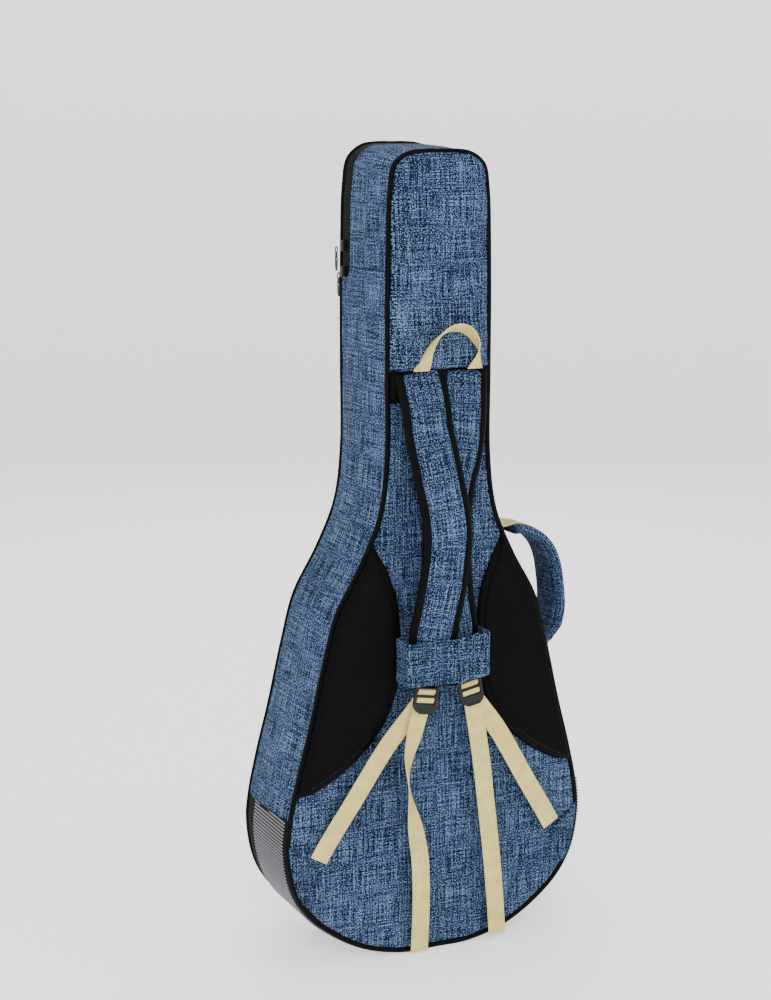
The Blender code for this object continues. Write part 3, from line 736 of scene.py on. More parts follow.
def rim_indexes(rows, columns):
    first = [(0, k) for k in range(columns)]
    right = [(i, columns - 1) for i in range(1, rows)]
    last = [(rows - 1, k) for k in range(columns - 2, -1, -1)]
    left = [(i, 0) for i in range(rows - 2, 0, -1)]
    return first + right + last + left


def body_pairs(low, high, inset):
    """Left and right places of the bag's outline between two heights."""
    inner = offset(EDGE, -inset)[1:len(EDGE) // 2]
    heights = [p.y for p in inner]
    widths = [p.x for p in inner]
    kept = [low] + [z for z in heights if low + 0.002 < z < high - 0.002] + [high]
    low, high = max(low, heights[0]), min(high, heights[-1])
    kept = [min(max(z, low), high) for z in kept]
    spread = [float(np.interp(z, heights, widths)) for z in kept]
    return [(Vector((-x, z)), Vector((x, z))) for x, z in zip(spread, kept)]


def ripple(grid, size, amount, seed):
    """Low waves over a grid, as slack cloth has."""
    def one(x, z):
        return noise.noise(Vector((x / size, z / size * 0.7, seed)))

    return np.array([[one(x, z) for x, z in row] for row in grid]) * amount


def settled(obj, base_y, cap, pressure=4.0, slack=0.0):
    """Swells a pad under cloth simulation, sewn at its rim and back, and keeps the result."""
    rest = [v.co.copy() for v in obj.data.vertices]
    sewn = [i for i, co in enumerate(rest) if abs(co.y - base_y) < 0.0004]
    group = obj.vertex_groups.new(name="sewn")
    group.add(sewn, 1.0, "REPLACE")
    cloth = obj.modifiers.new("cloth", "CLOTH")
    cloth.settings.quality = 5
    cloth.settings.mass = 0.3
    cloth.settings.tension_stiffness = 20
    cloth.settings.compression_stiffness = 20
    cloth.settings.bending_stiffness = 1.5
    cloth.settings.use_pressure = True
    cloth.settings.uniform_pressure_force = pressure
    cloth.settings.shrink_min = -slack
    cloth.settings.effector_weights.gravity = 0
    cloth.settings.vertex_group_mass = "sewn"
    scene = bpy.context.scene
    for number in range(1, 21):
        scene.frame_set(number)
    graph = bpy.context.evaluated_depsgraph_get()
    swollen = obj.evaluated_get(graph).data
    places = [v.co.copy() for v in swollen.vertices]
    obj.modifiers.remove(cloth)
    obj.vertex_groups.remove(group)
    for vertex, before, after in zip(obj.data.vertices, rest, places):
        move = after - before
        if move.length > cap:
            move = move.normalized() * cap
        vertex.co = before + move
    scene.frame_set(1)
    return obj


def finer(obj):
    """One more level of faces on a finished soft piece, applied."""
    change = obj.modifiers.new("fine", "SUBSURF")
    change.levels = 1
    change.render_levels = 1
    return applied(obj)


def applied(obj):
    """Gives the object the mesh that its modifiers make, and removes them."""
    graph = bpy.context.evaluated_depsgraph_get()
    mesh = bpy.data.meshes.new_from_object(obj.evaluated_get(graph))
    obj.modifiers.clear()
    old = obj.data
    obj.data = mesh
    bpy.data.meshes.remove(old)
    return obj


def joined(name, objects):
    """One object from several."""
    shell = bmesh.new()
    for obj in objects:
        shell.from_mesh(obj.data)
    first, *others = objects
    shell.to_mesh(first.data)
    shell.free()
    for obj in others:
        bpy.data.objects.remove(obj)
    first.name = name
    first.data.shade_smooth()
    first.data.set_sharp_from_angle(angle=math.radians(50))
    return first


def fitted(obj, body, slot, *nodes):
    """Rides the piece on its body in place of these CAD solids."""
    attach(obj, body)
    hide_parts(*nodes)
    return obj


def refined(node, name, look, width, segments):
    """A copy of a CAD solid with rounded edges."""
    obj = bpy.data.objects.new(name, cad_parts[node].data.copy())
    bpy.context.scene.collection.objects.link(obj)
    obj.data.materials.clear()
    obj.data.materials.append(look_named(look))
    shell = bmesh.new()
    shell.from_mesh(obj.data)
    bmesh.ops.remove_doubles(shell, verts=shell.verts, dist=1e-5)
    bmesh.ops.dissolve_limit(shell, angle_limit=0.02, verts=shell.verts, edges=shell.edges)
    shell.to_mesh(obj.data)
    shell.free()
    edge = obj.modifiers.new("edge", "BEVEL")
    edge.width = width
    edge.segments = segments
    edge.limit_method = "ANGLE"
    edge.angle_limit = math.radians(35)
    applied(obj)
    obj.data.shade_smooth()
    obj.data.set_sharp_from_angle(angle=math.radians(45))
    return obj


# ---- Repeats with Geometry Nodes ----

def node_adder(tree):
    """A function that adds a node, sets its properties and feeds its inputs."""
    def add(kind, settings=(), **inputs):
        node = tree.nodes.new(kind)
        for key, value in dict(settings).items():
            setattr(node, key, value)
        for key, value in inputs.items():
            socket = node.inputs[key.replace("_", " ")]
            if isinstance(value, bpy.types.NodeSocket):
                tree.links.new(value, socket)
            else:
                socket.default_value = value
        return node

    return add


def copied_shape(add, form):
    """The small shape that is repeated, one metre in size before it is scaled."""
    if form == "ring":
        circle = add("GeometryNodeCurvePrimitiveCircle", Resolution=6, Radius=0.5)
        profile = add("GeometryNodeCurvePrimitiveCircle", Resolution=3, Radius=0.13)
        return add(
            "GeometryNodeCurveToMesh", Curve=circle.outputs[0], Profile_Curve=profile.outputs[0]
        ).outputs[0]
    if form == "bead":
        return add("GeometryNodeMeshUVSphere", Segments=6, Rings=4, Radius=0.5).outputs[0]
    rod = add("GeometryNodeMeshCylinder", Vertices=6, Radius=0.5, Depth=1.0)
    return add(
        "GeometryNodeTransform", Geometry=rod.outputs[0], Rotation=(math.pi / 2, 0, 0)
    ).outputs[0]


def repeat_tree(form):
    """Copies of a ring on points, or of a bead or a rod along paths."""
    name = f"repeat_{form}"
    if name in bpy.data.node_groups:
        return bpy.data.node_groups[name]
    tree = bpy.data.node_groups.new(name, "GeometryNodeTree")
    tree.interface.new_socket("Geometry", in_out="INPUT", socket_type="NodeSocketGeometry")
    for label in ("Spacing", "Length", "Width", "Height"):
        tree.interface.new_socket(label, in_out="INPUT", socket_type="NodeSocketFloat")
    tree.interface.new_socket("Material", in_out="INPUT", socket_type="NodeSocketMaterial")
    tree.interface.new_socket("Geometry", in_out="OUTPUT", socket_type="NodeSocketGeometry")
    add = node_adder(tree)
    given = add("NodeGroupInput").outputs
    points = given["Geometry"]
    shape = copied_shape(add, form)
    facing = add("GeometryNodeInputNamedAttribute", {"data_type": "FLOAT_VECTOR"}, Name="facing")
    turn = add("FunctionNodeAlignRotationToVector", {"axis": "Z"}, Vector=facing.outputs[0])
    if form != "ring":
        line = add("GeometryNodeMeshToCurve", Mesh=points)
        spaced = add(
            "GeometryNodeResampleCurve", {"mode": "LENGTH"}, Curve=line.outputs[0],
            Length=given["Spacing"],
        )
        points = spaced.outputs[0]
        tangent = add("GeometryNodeInputTangent").outputs[0]
        turn = add(
            "FunctionNodeAlignRotationToVector", {"axis": "X", "pivot_axis": "Z"},
            Rotation=turn.outputs[0], Vector=tangent,
        )
    size = add("ShaderNodeCombineXYZ", X=given["Length"], Y=given["Width"], Z=given["Height"])
    copies = add(
        "GeometryNodeInstanceOnPoints", Points=points, Instance=shape,
        Rotation=turn.outputs[0], Scale=size.outputs[0],
    )
    real = add("GeometryNodeRealizeInstances", Geometry=copies.outputs[0])
    dressed = add("GeometryNodeSetMaterial", Geometry=real.outputs[0], Material=given["Material"])
    add("NodeGroupOutput", Geometry=dressed.outputs[0])
    return tree


def repeated(name, form, lines, spacing, size, look, body):
    """One plain mesh of copies along lines, each a list of places and the way each one faces."""
    points, facings, edges = [], [], []
    for places, normals in lines:
        start = len(points)
        points += [tuple(p) for p in places]
        facings += [tuple(n) for n in normals]
        if form != "ring":
            edges += [(start + k, start + k + 1) for k in range(len(places) - 1)]
    guide = bpy.data.meshes.new(name)
    guide.from_pydata(lifted(points), edges, [])
    stored = guide.attributes.new("facing", "FLOAT_VECTOR", "POINT")
    stored.data.foreach_set("vector", np.array(facings, float).ravel())
    obj = bpy.data.objects.new(name, guide)
    bpy.context.scene.collection.objects.link(obj)
    tree = repeat_tree(form)
    change = obj.modifiers.new("repeat", "NODES")
    change.node_group = tree
    wanted = {
        "Spacing": spacing, "Length": size[0], "Width": size[1], "Height": size[2],
        "Material": look_named(look),
    }
    for socket in tree.interface.items_tree:
        if socket.in_out == "INPUT" and socket.name in wanted:
            change[socket.identifier] = wanted[socket.name]
    bpy.context.view_layer.update()
    applied(obj)
    if not obj.data.polygons:
        raise RuntimeError(f"{name} has no copies")
    obj.data.shade_smooth()
    obj.data.set_sharp_from_angle(angle=math.radians(50))
    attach(obj, body)
    return obj


def stitches(name, lines, look, body, width=0.0008):
    sizes = bpy.context.scene.gig_bag_sizes
    size = (sizes.stitch, width, width)
    return repeated(name, "bead", lines, sizes.stitch_pitch, size, look, body)


def along_gusset(places):
    """A line from places on the gusset, each with the way it faces."""
    return [place for place, _ in places], [normal for _, normal in places]


def line_on(points, facing=(0, -1, 0)):
    """A stitch line through places, all facing one way."""
    return [Vector(p) for p in points], [facing] * len(points)


# ---- Pieces ----

class Builder:
    """What every operator of the bag shares."""

    bl_options = {"REGISTER", "UNDO"}

    def execute(self, context):
        self.build(context.scene.gig_bag_sizes)
        return {"FINISHED"}


class BAG_OT_back_panel(Builder, bpy.types.Operator):
    """Denim back cover and the plush layer behind it"""

    bl_idname = "gig_bag.back_panel"
    bl_label = "Back Panel"

    def build(self, sizes):
        grid = rows_between(body_pairs(0.0, HEIGHT, 0.0006), 56)
        distance = rim_distance(grid, rim_of(grid))
        height = crown(distance, 0.020) * sizes.back_crown
        height += ripple(grid, 0.09, 0.0014, 3.1) * crown(distance, 0.05)
        height += CLOTH * crown(distance, 0.002)
        cover = pad("back_panel", grid, BACK + CLOTH, height, "canvas")
        cover = settled(cover, BACK + CLOTH, 0.3 * sizes.cap)
        fitted(finer(cover), "shell", "denim", "back_cover")
        inner = rows_between(body_pairs(0.004, HEIGHT - 0.004, 0.004), 24)
        depth = crown(rim_distance(inner, rim_of(inner)), 0.008) * (PANEL_STACK - CLOTH - 0.0006)
        lining = pad("back_padding", inner, BACK + CLOTH + 0.0003, depth, "plush_pile", side=1)
        fitted(lining, "shell", "plush", "back_foam", "back_lining")


def gusset_band(
    name, indexes, span, look, depth_in=0.0, thickness=CLOTH, ring=False, columns=10, waves=0.0
):
    """A strip of the bag's side between two depths, which span gives at each place."""
    loops = []
    for i in indexes:
        back, front = span(EDGE[i])
        outer, inner = [], []
        for k in range(columns + 1):
            y = back + (front - back) * k / columns
            hem = min(k, columns - k) / columns
            lift = waves * hem * noise.noise(Vector((EDGE[i].x * 9, y * 14, EDGE[i].y * 9)))
            outer.append(on_gusset(i, y, lift - depth_in)[0])
            inner.append(on_gusset(i, y, lift - depth_in - thickness)[0])
        loops.append(outer + inner[::-1])
    return loft(name, loops, look, ring)


def denim_front(point):
    """Where the side denim ends towards the front, at a place on the outline."""
    hinge_side = point.x < 0 and LEVEL_SEAM - 0.001 <= point.y
    if not hinge_side:
        return FRONT - ZIP_BAND
    share = min(max((point.y - FLARE_BOTTOM) / (FLARE_TOP - FLARE_BOTTOM), 0), 1)
    reach = FRONT - HINGE_CLOTH
    return reach - (reach - (FRONT - ZIP_BAND)) * share


class BAG_OT_gusset(Builder, bpy.types.Operator):
    """Denim side, ribbed bumper, plush inside and the cloth that the lid hinges on"""

    bl_idname = "gig_bag.gusset"
    bl_label = "Gusset and Bumper"

    def build(self, sizes):
        upper = stretch_of((1, LEVEL_SEAM), (-1, LEVEL_SEAM))
        lower = stretch_of((-1, LEVEL_SEAM), (1, LEVEL_SEAM))
        near = BACK + 0.0008
        # The side denim takes the 0.96 painted-shade copy of the canvas.
        side = gusset_band("gusset", upper, lambda p: (near, denim_front(p)), "canvas_side_painted_shade", waves=0.003)
        fitted(side, "shell", "denim", "gusset_cover")
        path = [on_gusset(i, MIDDLE_Y)[0] for i in upper]
        length_of(path)
        self.bumper(lower, near, sizes)
        fold = min(upper, key=lambda i: abs(EDGE[i].y - FLARE_TOP) + (EDGE[i].x > 0))
        far = FRONT - ZIP_BAND
        row = [on_gusset(fold, near + (far - near) * k / 16, 0.0004) for k in range(17)]
        # The side seam's rods take the 0.75 painted-shade copy of the canvas.
        repeated(
            "side_seam", "rod", [along_gusset(row)], 0.0012, (0.0013, 0.0012, 0.0012),
            "canvas_dark_painted_shade", "shell",
        )
        self.hinge_cloth()
        padding = gusset_band(
            "gusset_padding", range(len(EDGE)), lambda p: (BACK + PANEL_STACK, self.padding_front(p)),
            "plush_pile", CLOTH + 0.0006, 0.0115, ring=True, columns=6,
        )
        fitted(padding, "shell", "plush", "gusset_foam", "gusset_lining")

    def padding_front(self, point):
        hinge_side = point.x < 0 and LEVEL_SEAM < point.y <= FLARE_BOTTOM
        return FRONT - PANEL_STACK if hinge_side else ZIP - 0.001

    def bumper(self, lower, near, sizes):
        far = FRONT - ZIP_BAND
        # The ground under the ribs takes the painted-shade copy of the bumper grey.
        ground = gusset_band("bumper_panel", lower, lambda p: (near, far), "bumper_ground_painted_shade")
        fitted(ground, "shell", "bumper_grey", "bumper")
        places = [on_gusset(i, (near + far) / 2, 0.0003) for i in lower]
        far - near
        length_of(along_gusset(places)[0])
        self.ribs(places, near, far, sizes)
        lines = []
        for end in (lower[0], lower[-1]):
            row = [on_gusset(end, near + (far - near) * k / 12, 0.0006) for k in range(13)]
            lines.append(along_gusset(row))
        repeated(
            "bumper_seam", "rod", lines, 0.0011, (0.0012, 0.0030, 0.0014),
            "bound_cloth", "shell",
        )

    def ribs(self, places, near, far, sizes):
        width = far - near - 0.004
        return repeated(
            "bumper_ribs", "rod", [along_gusset(places)], sizes.rib_pitch,
            (0.0024, width, 0.0022), "bumper_ribs", "shell",
        )

    def hinge_cloth(self):
        """The strip of side denim where the lid hinges."""
        rows = stretch_of((-1, FLARE_BOTTOM + 0.022), (-1, LEVEL_SEAM))
        # The hinge cloth takes the 0.96 painted-shade copy of the canvas.
        strip = gusset_band(
            "hinge_cloth", rows, lambda p: (denim_front(p), max(denim_front(p) + 0.002, FRONT - 0.001)),
            "canvas_side_painted_shade", columns=8,
        )
        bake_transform(strip)


def zip_pull(name, node, across):
    """A wire ring on the slider, and the long loop that hangs from it."""
    low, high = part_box(node)
    middle = (low + high) / 2
    top = Vector((middle.x, middle.y, high.z - 0.0042))
    facing = across.cross(Vector((0, 0, 1)))

    def ellipse(centre, wide, tall, count):
        turns = [math.tau * k / count for k in range(count)]
        up = Vector((0, 0, tall))
        return [centre + across * (wide * math.cos(a)) + up * math.sin(a) for a in turns]

    def wire(part, path, radius):
        return tube(part, path, radius, "coated_metal", ring=True, facing=facing, count=8)

    ring = wire("ring", ellipse(top, 0.0036, 0.0042, 20), 0.0008)
    length = (top.z - 0.0030 - low.z) / 2
    hanging = Vector((top.x, top.y, low.z + length))
    loop = wire("loop", ellipse(hanging, 0.0027, length, 32), 0.0010)
    plate = [hanging + Vector((0, 0, z * length)) for z in (-0.92, -0.6, -0.2, 0.1)]
    tab = loft("tab", swept(plate, webbing_section(0.0042, 0.0012, 1), [across] * 4), "coated_metal")
    return joined(name, [ring, loop, tab])


class BAG_OT_main_zip(Builder, bpy.types.Operator):
    """Both tapes of the main zip, its teeth, sliders and pulls"""

    bl_idname = "gig_bag.main_zip"
    bl_label = "Main Zip"

    def build(self, sizes):
        path = stretch_of((-1, LEVEL_SEAM), (-1, TAPE_END))
        start = FRONT - ZIP_BAND
        halves = (
            ("zip", "shell", (start - 0.001, ZIP - COIL), ZIP - COIL / 2, start + 0.0095),
            ("lid_zip", "lid", (ZIP + COIL, FRONT - 0.001), ZIP + COIL / 2, FRONT - 0.0105),
        )
        for name, body, span, *_ in halves:
            tape = gusset_band(f"{name}_tape", path, lambda p: span, "zip_tape", 0.0003)
            fitted(tape, body, "black_binding", f"zip_tape_{body}")
            length_of([EDGE[i] for i in path])
        for name, body, _, teeth_y, _ in halves:
            line = along_gusset([on_gusset(i, teeth_y, -0.0002) for i in path])
            repeated(
                f"{name}_teeth", "bead", [line], sizes.tooth_pitch, (0.0013, COIL * 1.05, 0.0018),
                "moulded_plastic", body,
            )
        for name, body, _, _, fold_y in halves:
            line = along_gusset([on_gusset(i, fold_y, 0.0002) for i in path])
            stitches(f"{name}_fold", [line], "black_thread", body)
        for name in ("upper_main", "lower_main"):
            slider = refined(f"{name}_slider", f"{name}_zip_slider", "moulded_plastic", 0.0016, 3)
            fitted(slider, f"{name}_slider", "hardware_metal", f"{name}_slider")
            pull = zip_pull(f"{name}_zip_pull", f"{name}_pull", Vector((0, 1, 0)))
            fitted(pull, f"{name}_pull", "hardware_metal", f"{name}_pull")


class BAG_OT_piping(Builder, bpy.types.Operator):
    """Piping round the back and the front"""

    bl_idname = "gig_bag.piping"
    bl_label = "Piping"

    def build(self, sizes):
        for name, y, body in (("back_piping", BACK, "shell"), ("front_piping", FRONT, "lid")):
            path = [Vector((p.x, y, p.y)) for p in offset(EDGE, -0.0008)]
            cord = tube(
                f"{name}_cord", path, PIPING_WIDTH / 2, "black_piping", ring=True, flat=0.8, count=12
            )
            fitted(cord, body, "black_binding", name)


class BAG_OT_upper_back(Builder, bpy.types.Operator):
    """Pad over the neck, and the black yoke that holds the straps under its hem"""

    bl_idname = "gig_bag.upper_back"
    bl_label = "Upper Back Pad"

    def build(self, sizes):
        base = BACK - 0.0003
        grid = rows_between(self.pairs(), 44)
        distance = rim_distance(grid, rim_of(grid))
        x, z = grid[:, :, 0], grid[:, :, 1]
        over_straps = self.over_straps(x)
        near_hem = np.exp(-((z - HEM) / 0.050) ** 2)
        to_hem = np.abs(z - HEM)
        to_sides = rim_distance(grid, [p for p in rim_of(grid) if p[1] > HEM + 0.001])
        rise = sizes.pad_rise * crown(to_sides, 0.012)
        rise = rise + sizes.hem_rise * over_straps * near_hem
        rise = rise * crown(to_hem, 0.0035)
        rise = rise + ripple(grid, 0.05, 0.0012, 7.7) * crown(distance, 0.02)
        cover = pad("upper_back_cushion", grid, base, np.maximum(rise, 0), "canvas")
        cover = settled(cover, base, 0.5 * sizes.cap, 5.0, 0.01)
        fitted(finer(cover), "shell", "denim", "upper_back_pad")
        yoke_rows = rows_between(body_pairs(YOKE_BOTTOM, HEM + 0.012, 0.003), 16)
        flat = crown(rim_distance(yoke_rows, rim_of(yoke_rows)), 0.006) * 0.0062
        yoke = pad("yoke", yoke_rows, BACK - 0.0001, flat + 0.0012, "zip_tape")
        fitted(yoke, "shell", "black_binding", "strap_yoke")
        2 * half_width(HEM)
        spread = np.linspace(-0.068, 0.068, 60)
        row = [Vector((x, base - self.out_at(x) - 0.0004, HEM + 0.0085)) for x in spread]
        stitches("hem_stitches", [line_on(row)], "blue_thread", "shell")

    def out_at(self, x):
        """How far the pad stands out along its hem seam."""
        sizes = bpy.context.scene.gig_bag_sizes
        return sizes.pad_rise + sizes.hem_rise * float(self.over_straps(x))

    def over_straps(self, x):
        """1 over the two straps, falling to 0 beside them."""
        return 1 / (1 + np.exp((np.abs(x - 0.001) - 0.060) / 0.004))

    def pairs(self):
        fine = [HEM, HEM + 0.001, HEM + 0.002, HEM + 0.0035]
        rows = body_pairs(HEM, HEIGHT - 0.0026, 0.0022)
        low = rows[0]
        extra = [(Vector((low[0].x, z)), Vector((low[1].x, z))) for z in fine]
        return extra + [row for row in rows[1:] if row[0].y > fine[-1] + 0.001]


class BAG_OT_mesh_pads(Builder, bpy.types.Operator):
    """Air-mesh pads at the waist, with their open knit and bindings"""

    bl_idname = "gig_bag.mesh_pads"
    bl_label = "Mesh Pads"

    def build(self, sizes):
        inner = smooth(in_metres(MESH_EDGE))
        heights = np.array([p.y for p in inner][::-1])
        widths = np.array([p.x for p in inner][::-1])
        levels = np.linspace(heights[0] + 0.001, heights[-1] - 0.001, 90)
        base = BACK - 0.0003
        for side, name in ((-1, "left"), (1, "right")):
            pairs = []
            for z in levels:
                edge = float(np.interp(z, heights, widths))
                rim = max(half_width(z, 0.0015), edge + 0.0015)
                pairs.append((Vector((side * edge, z)), Vector((side * rim, z))))
            grid = rows_between(pairs, 26)
            distance = rim_distance(grid, rim_of(grid))
            rise = crown(distance, 0.014) * sizes.mesh_rise + crown(distance, 0.05) * 0.002
            # The pad's ground takes the painted-shade air-mesh colour, as the dark inside the holes.
            ground = pad(f"mesh_pad_{name}_ground", grid, base, rise, "mesh_ground_painted_shade")
            fitted(finer(ground), "shell", "air_mesh", f"mesh_pad_{name}")
            self.knit(name, side, grid, heights, widths, sizes, base)
            ends = [min(1.0, 0.22 + 0.16 * min(k, len(inner) - 1 - k)) for k in range(len(inner))]
            path = []
            for p, share in zip(inner, ends):
                reach = min(p.x + 0.0045, half_width(p.y, 0.0030))
                path.append(Vector((side * reach, base - 0.0046 * share, p.y)))
            band = loft(
                f"mesh_band_{name}", swept(path, round_section(0.0070, 14, 0.55), widths=ends), "bound_cloth"
            )
            fitted(band, "shell", "black_binding", f"mesh_binding_{name}")
            seam = [Vector((side * (p.x + 0.0092), base - 0.0086, p.y)) for p in inner[3:-6]]
            stitches(f"mesh_band_stitches_{name}", [line_on(seam)], "black_thread", "shell")

    def knit(self, name, side, grid, heights, widths, sizes, base):
        """Rings of thread round the holes of the mesh, in staggered rows."""
        pitch = sizes.mesh_pitch
        rim = rim_of(grid)
        places = []
        row = 0
        z = heights[0]
        while z < heights[-1]:
            low = float(np.interp(z, heights, widths)) + 0.0085
            high = half_width(z, 0.0040)
            x = math.floor(low / pitch) * pitch + (row % 2) * pitch / 2
            while x < high:
                if x > low:
                    places.append((side * x, z))
                x += pitch
            z += pitch * 0.75
            row += 1
        flat = np.array(places)[:, None, :]
        distance = rim_distance(flat, rim)[:, 0]
        rise = crown(distance, 0.014) * sizes.mesh_rise + crown(distance, 0.05) * 0.002
        points = [Vector((x, base - h - 0.0001, z)) for (x, z), h in zip(places, rise)]
        repeated(
            f"mesh_pad_{name}_knit", "ring", [(points, [(0, -1, 0)] * len(points))], pitch,
            (pitch * 0.98, pitch * 0.98, 0.0036), "mesh_threads", "shell",
        )


class BAG_OT_anchors(Builder, bpy.types.Operator):
    """Denim corner tabs, and the webbing sewn between them and the buckles"""

    bl_idname = "gig_bag.anchors"
    bl_label = "Strap Anchors"

    def build(self, sizes):
        for side, name in ((-1, "left"), (1, "right")):
            pairs = []
            for t in np.linspace(0, 1, 18):
                z = 0.1745 - 0.0855 * t
                rim = half_width(z, 0.001)
                across = self.tab_edge(z)
                inner_edge = min(across, rim - 0.0005)
                pairs.append((Vector((side * inner_edge, z)), Vector((side * rim, z))))
            grid = rows_between(pairs, 12)
            over_panel = crown(rim_distance(grid, EDGE), 0.020) * (sizes.back_crown + 0.0015)
            rise = (over_panel + 0.0022) * crown(rim_distance(grid, rim_of(grid)), 0.002)
            # The corner tab takes the 0.75 painted-shade copy of the canvas.
            tab = pad(f"corner_tab_{name}", grid, BACK - 0.0006, rise, "canvas_dark_painted_shade")
            fitted(finer(tab), "shell", "denim", f"anchor_tab_{name}")
            route = smooth([at_back(side * x, out + 1.0, z) for x, out, z in ANCHOR_ROUTE], 10)
            section = webbing_section(WEBBING, WEBBING_THICKNESS)
            band = loft(f"anchor_strap_{name}", swept(route, section), "sand_webbing")
            fitted(band, "shell", "webbing", f"anchor_webbing_{name}")
            length_of(route)
            seams = []
            start = Vector((side * TAB_CORNER[0], BACK - 0.0062, TAB_CORNER[1]))
            for x, z in ((0.2135, 0.1745), (0.189, 0.090)):
                end = Vector((side * x, BACK - 0.0062, z))
                seams.append(line_on([start.lerp(end, t) for t in np.linspace(0.06, 0.94, 12)]))
            stitches(f"tab_stitches_{name}", seams, "blue_thread", "shell")

    def tab_edge(self, z):
        """The inner edge of a corner tab at a height."""
        far = TAB_TOP if z > TAB_CORNER[1] else TAB_BOTTOM
        share = (z - TAB_CORNER[1]) / (far[1] - TAB_CORNER[1])
        return TAB_CORNER[0] + (far[0] - TAB_CORNER[0]) * share


class BAG_OT_shoulder_straps(Builder, bpy.types.Operator):
    """Padded shoulder straps with black bound edges"""

    bl_idname = "gig_bag.shoulder_straps"
    bl_label = "Shoulder Straps"

    def build(self, sizes):
        width, thickness, binding = STRAP_WIDTH, STRAP_THICKNESS, STRAP_BINDING
        for name, places in STRAP_PATHS.items():
            path = smooth([at_back(x, out - thickness / 2 / MM, z) for x, out, z in places], 9)
            taper = [min(1.0, 0.62 + 0.38 * (p.z - 0.388) / 0.05) for p in path]
            section = pad_section(width - 2 * binding - 0.001, thickness + 0.0015, 14)
            cushion = loft(f"shoulder_pad_{name}", swept(path, section, widths=taper), "canvas")
            self.crease(cushion)
            fitted(finer(cushion), "shell", "denim", f"strap_pad_{name}")
            # Black mesh underside of each strap, in the painted-shade mesh ground; it also stands in for the
            # dark shade beside the strap.
            under = [p + Vector((0, 0.0062, 0)) for p in path]
            lined = pad_section(width - 0.008, 0.0085, 12)
            lining = loft(f"shoulder_lining_painted_shade_{name}", swept(under, lined, widths=taper), "mesh_ground_painted_shade")
            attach(lining, "shell")
            rim = self.rim(path, [(width / 2 - binding) * t for t in taper], binding)
            edge = tube(f"shoulder_binding_{name}", rim, binding, "bound_cloth", flat=0.86, count=14)
            fitted(edge, "shell", "black_binding", f"strap_binding_{name}")

    def crease(self, cushion):
        """Soft waves across the strap where it bends."""
        for vertex in cushion.data.vertices:
            place = vertex.co
            wave = noise.noise(Vector((place.x * 24, place.y * 10, place.z * 17)))
            vertex.co = place + Vector((0, -0.0011 * wave, 0))

    def rim(self, path, halves, binding):
        """Down one edge of a strap, round its lower end and up the other edge."""
        edges = ([], [])
        for i, point in enumerate(path):
            along = path[min(i + 1, len(path) - 1)] - path[max(i - 1, 0)]
            across = along.cross(Vector((0, -1, 0))).normalized()
            edges[0].append(point - across * halves[i])
            edges[1].append(point + across * halves[i])
        below = Vector((0, 0, -2 * binding - 0.001))
        turn = [edges[0][-1] + below * 0.8, path[-1] + below * 1.1, edges[1][-1] + below * 0.8]
        return edges[0] + smooth(turn, 4) + edges[1][::-1]


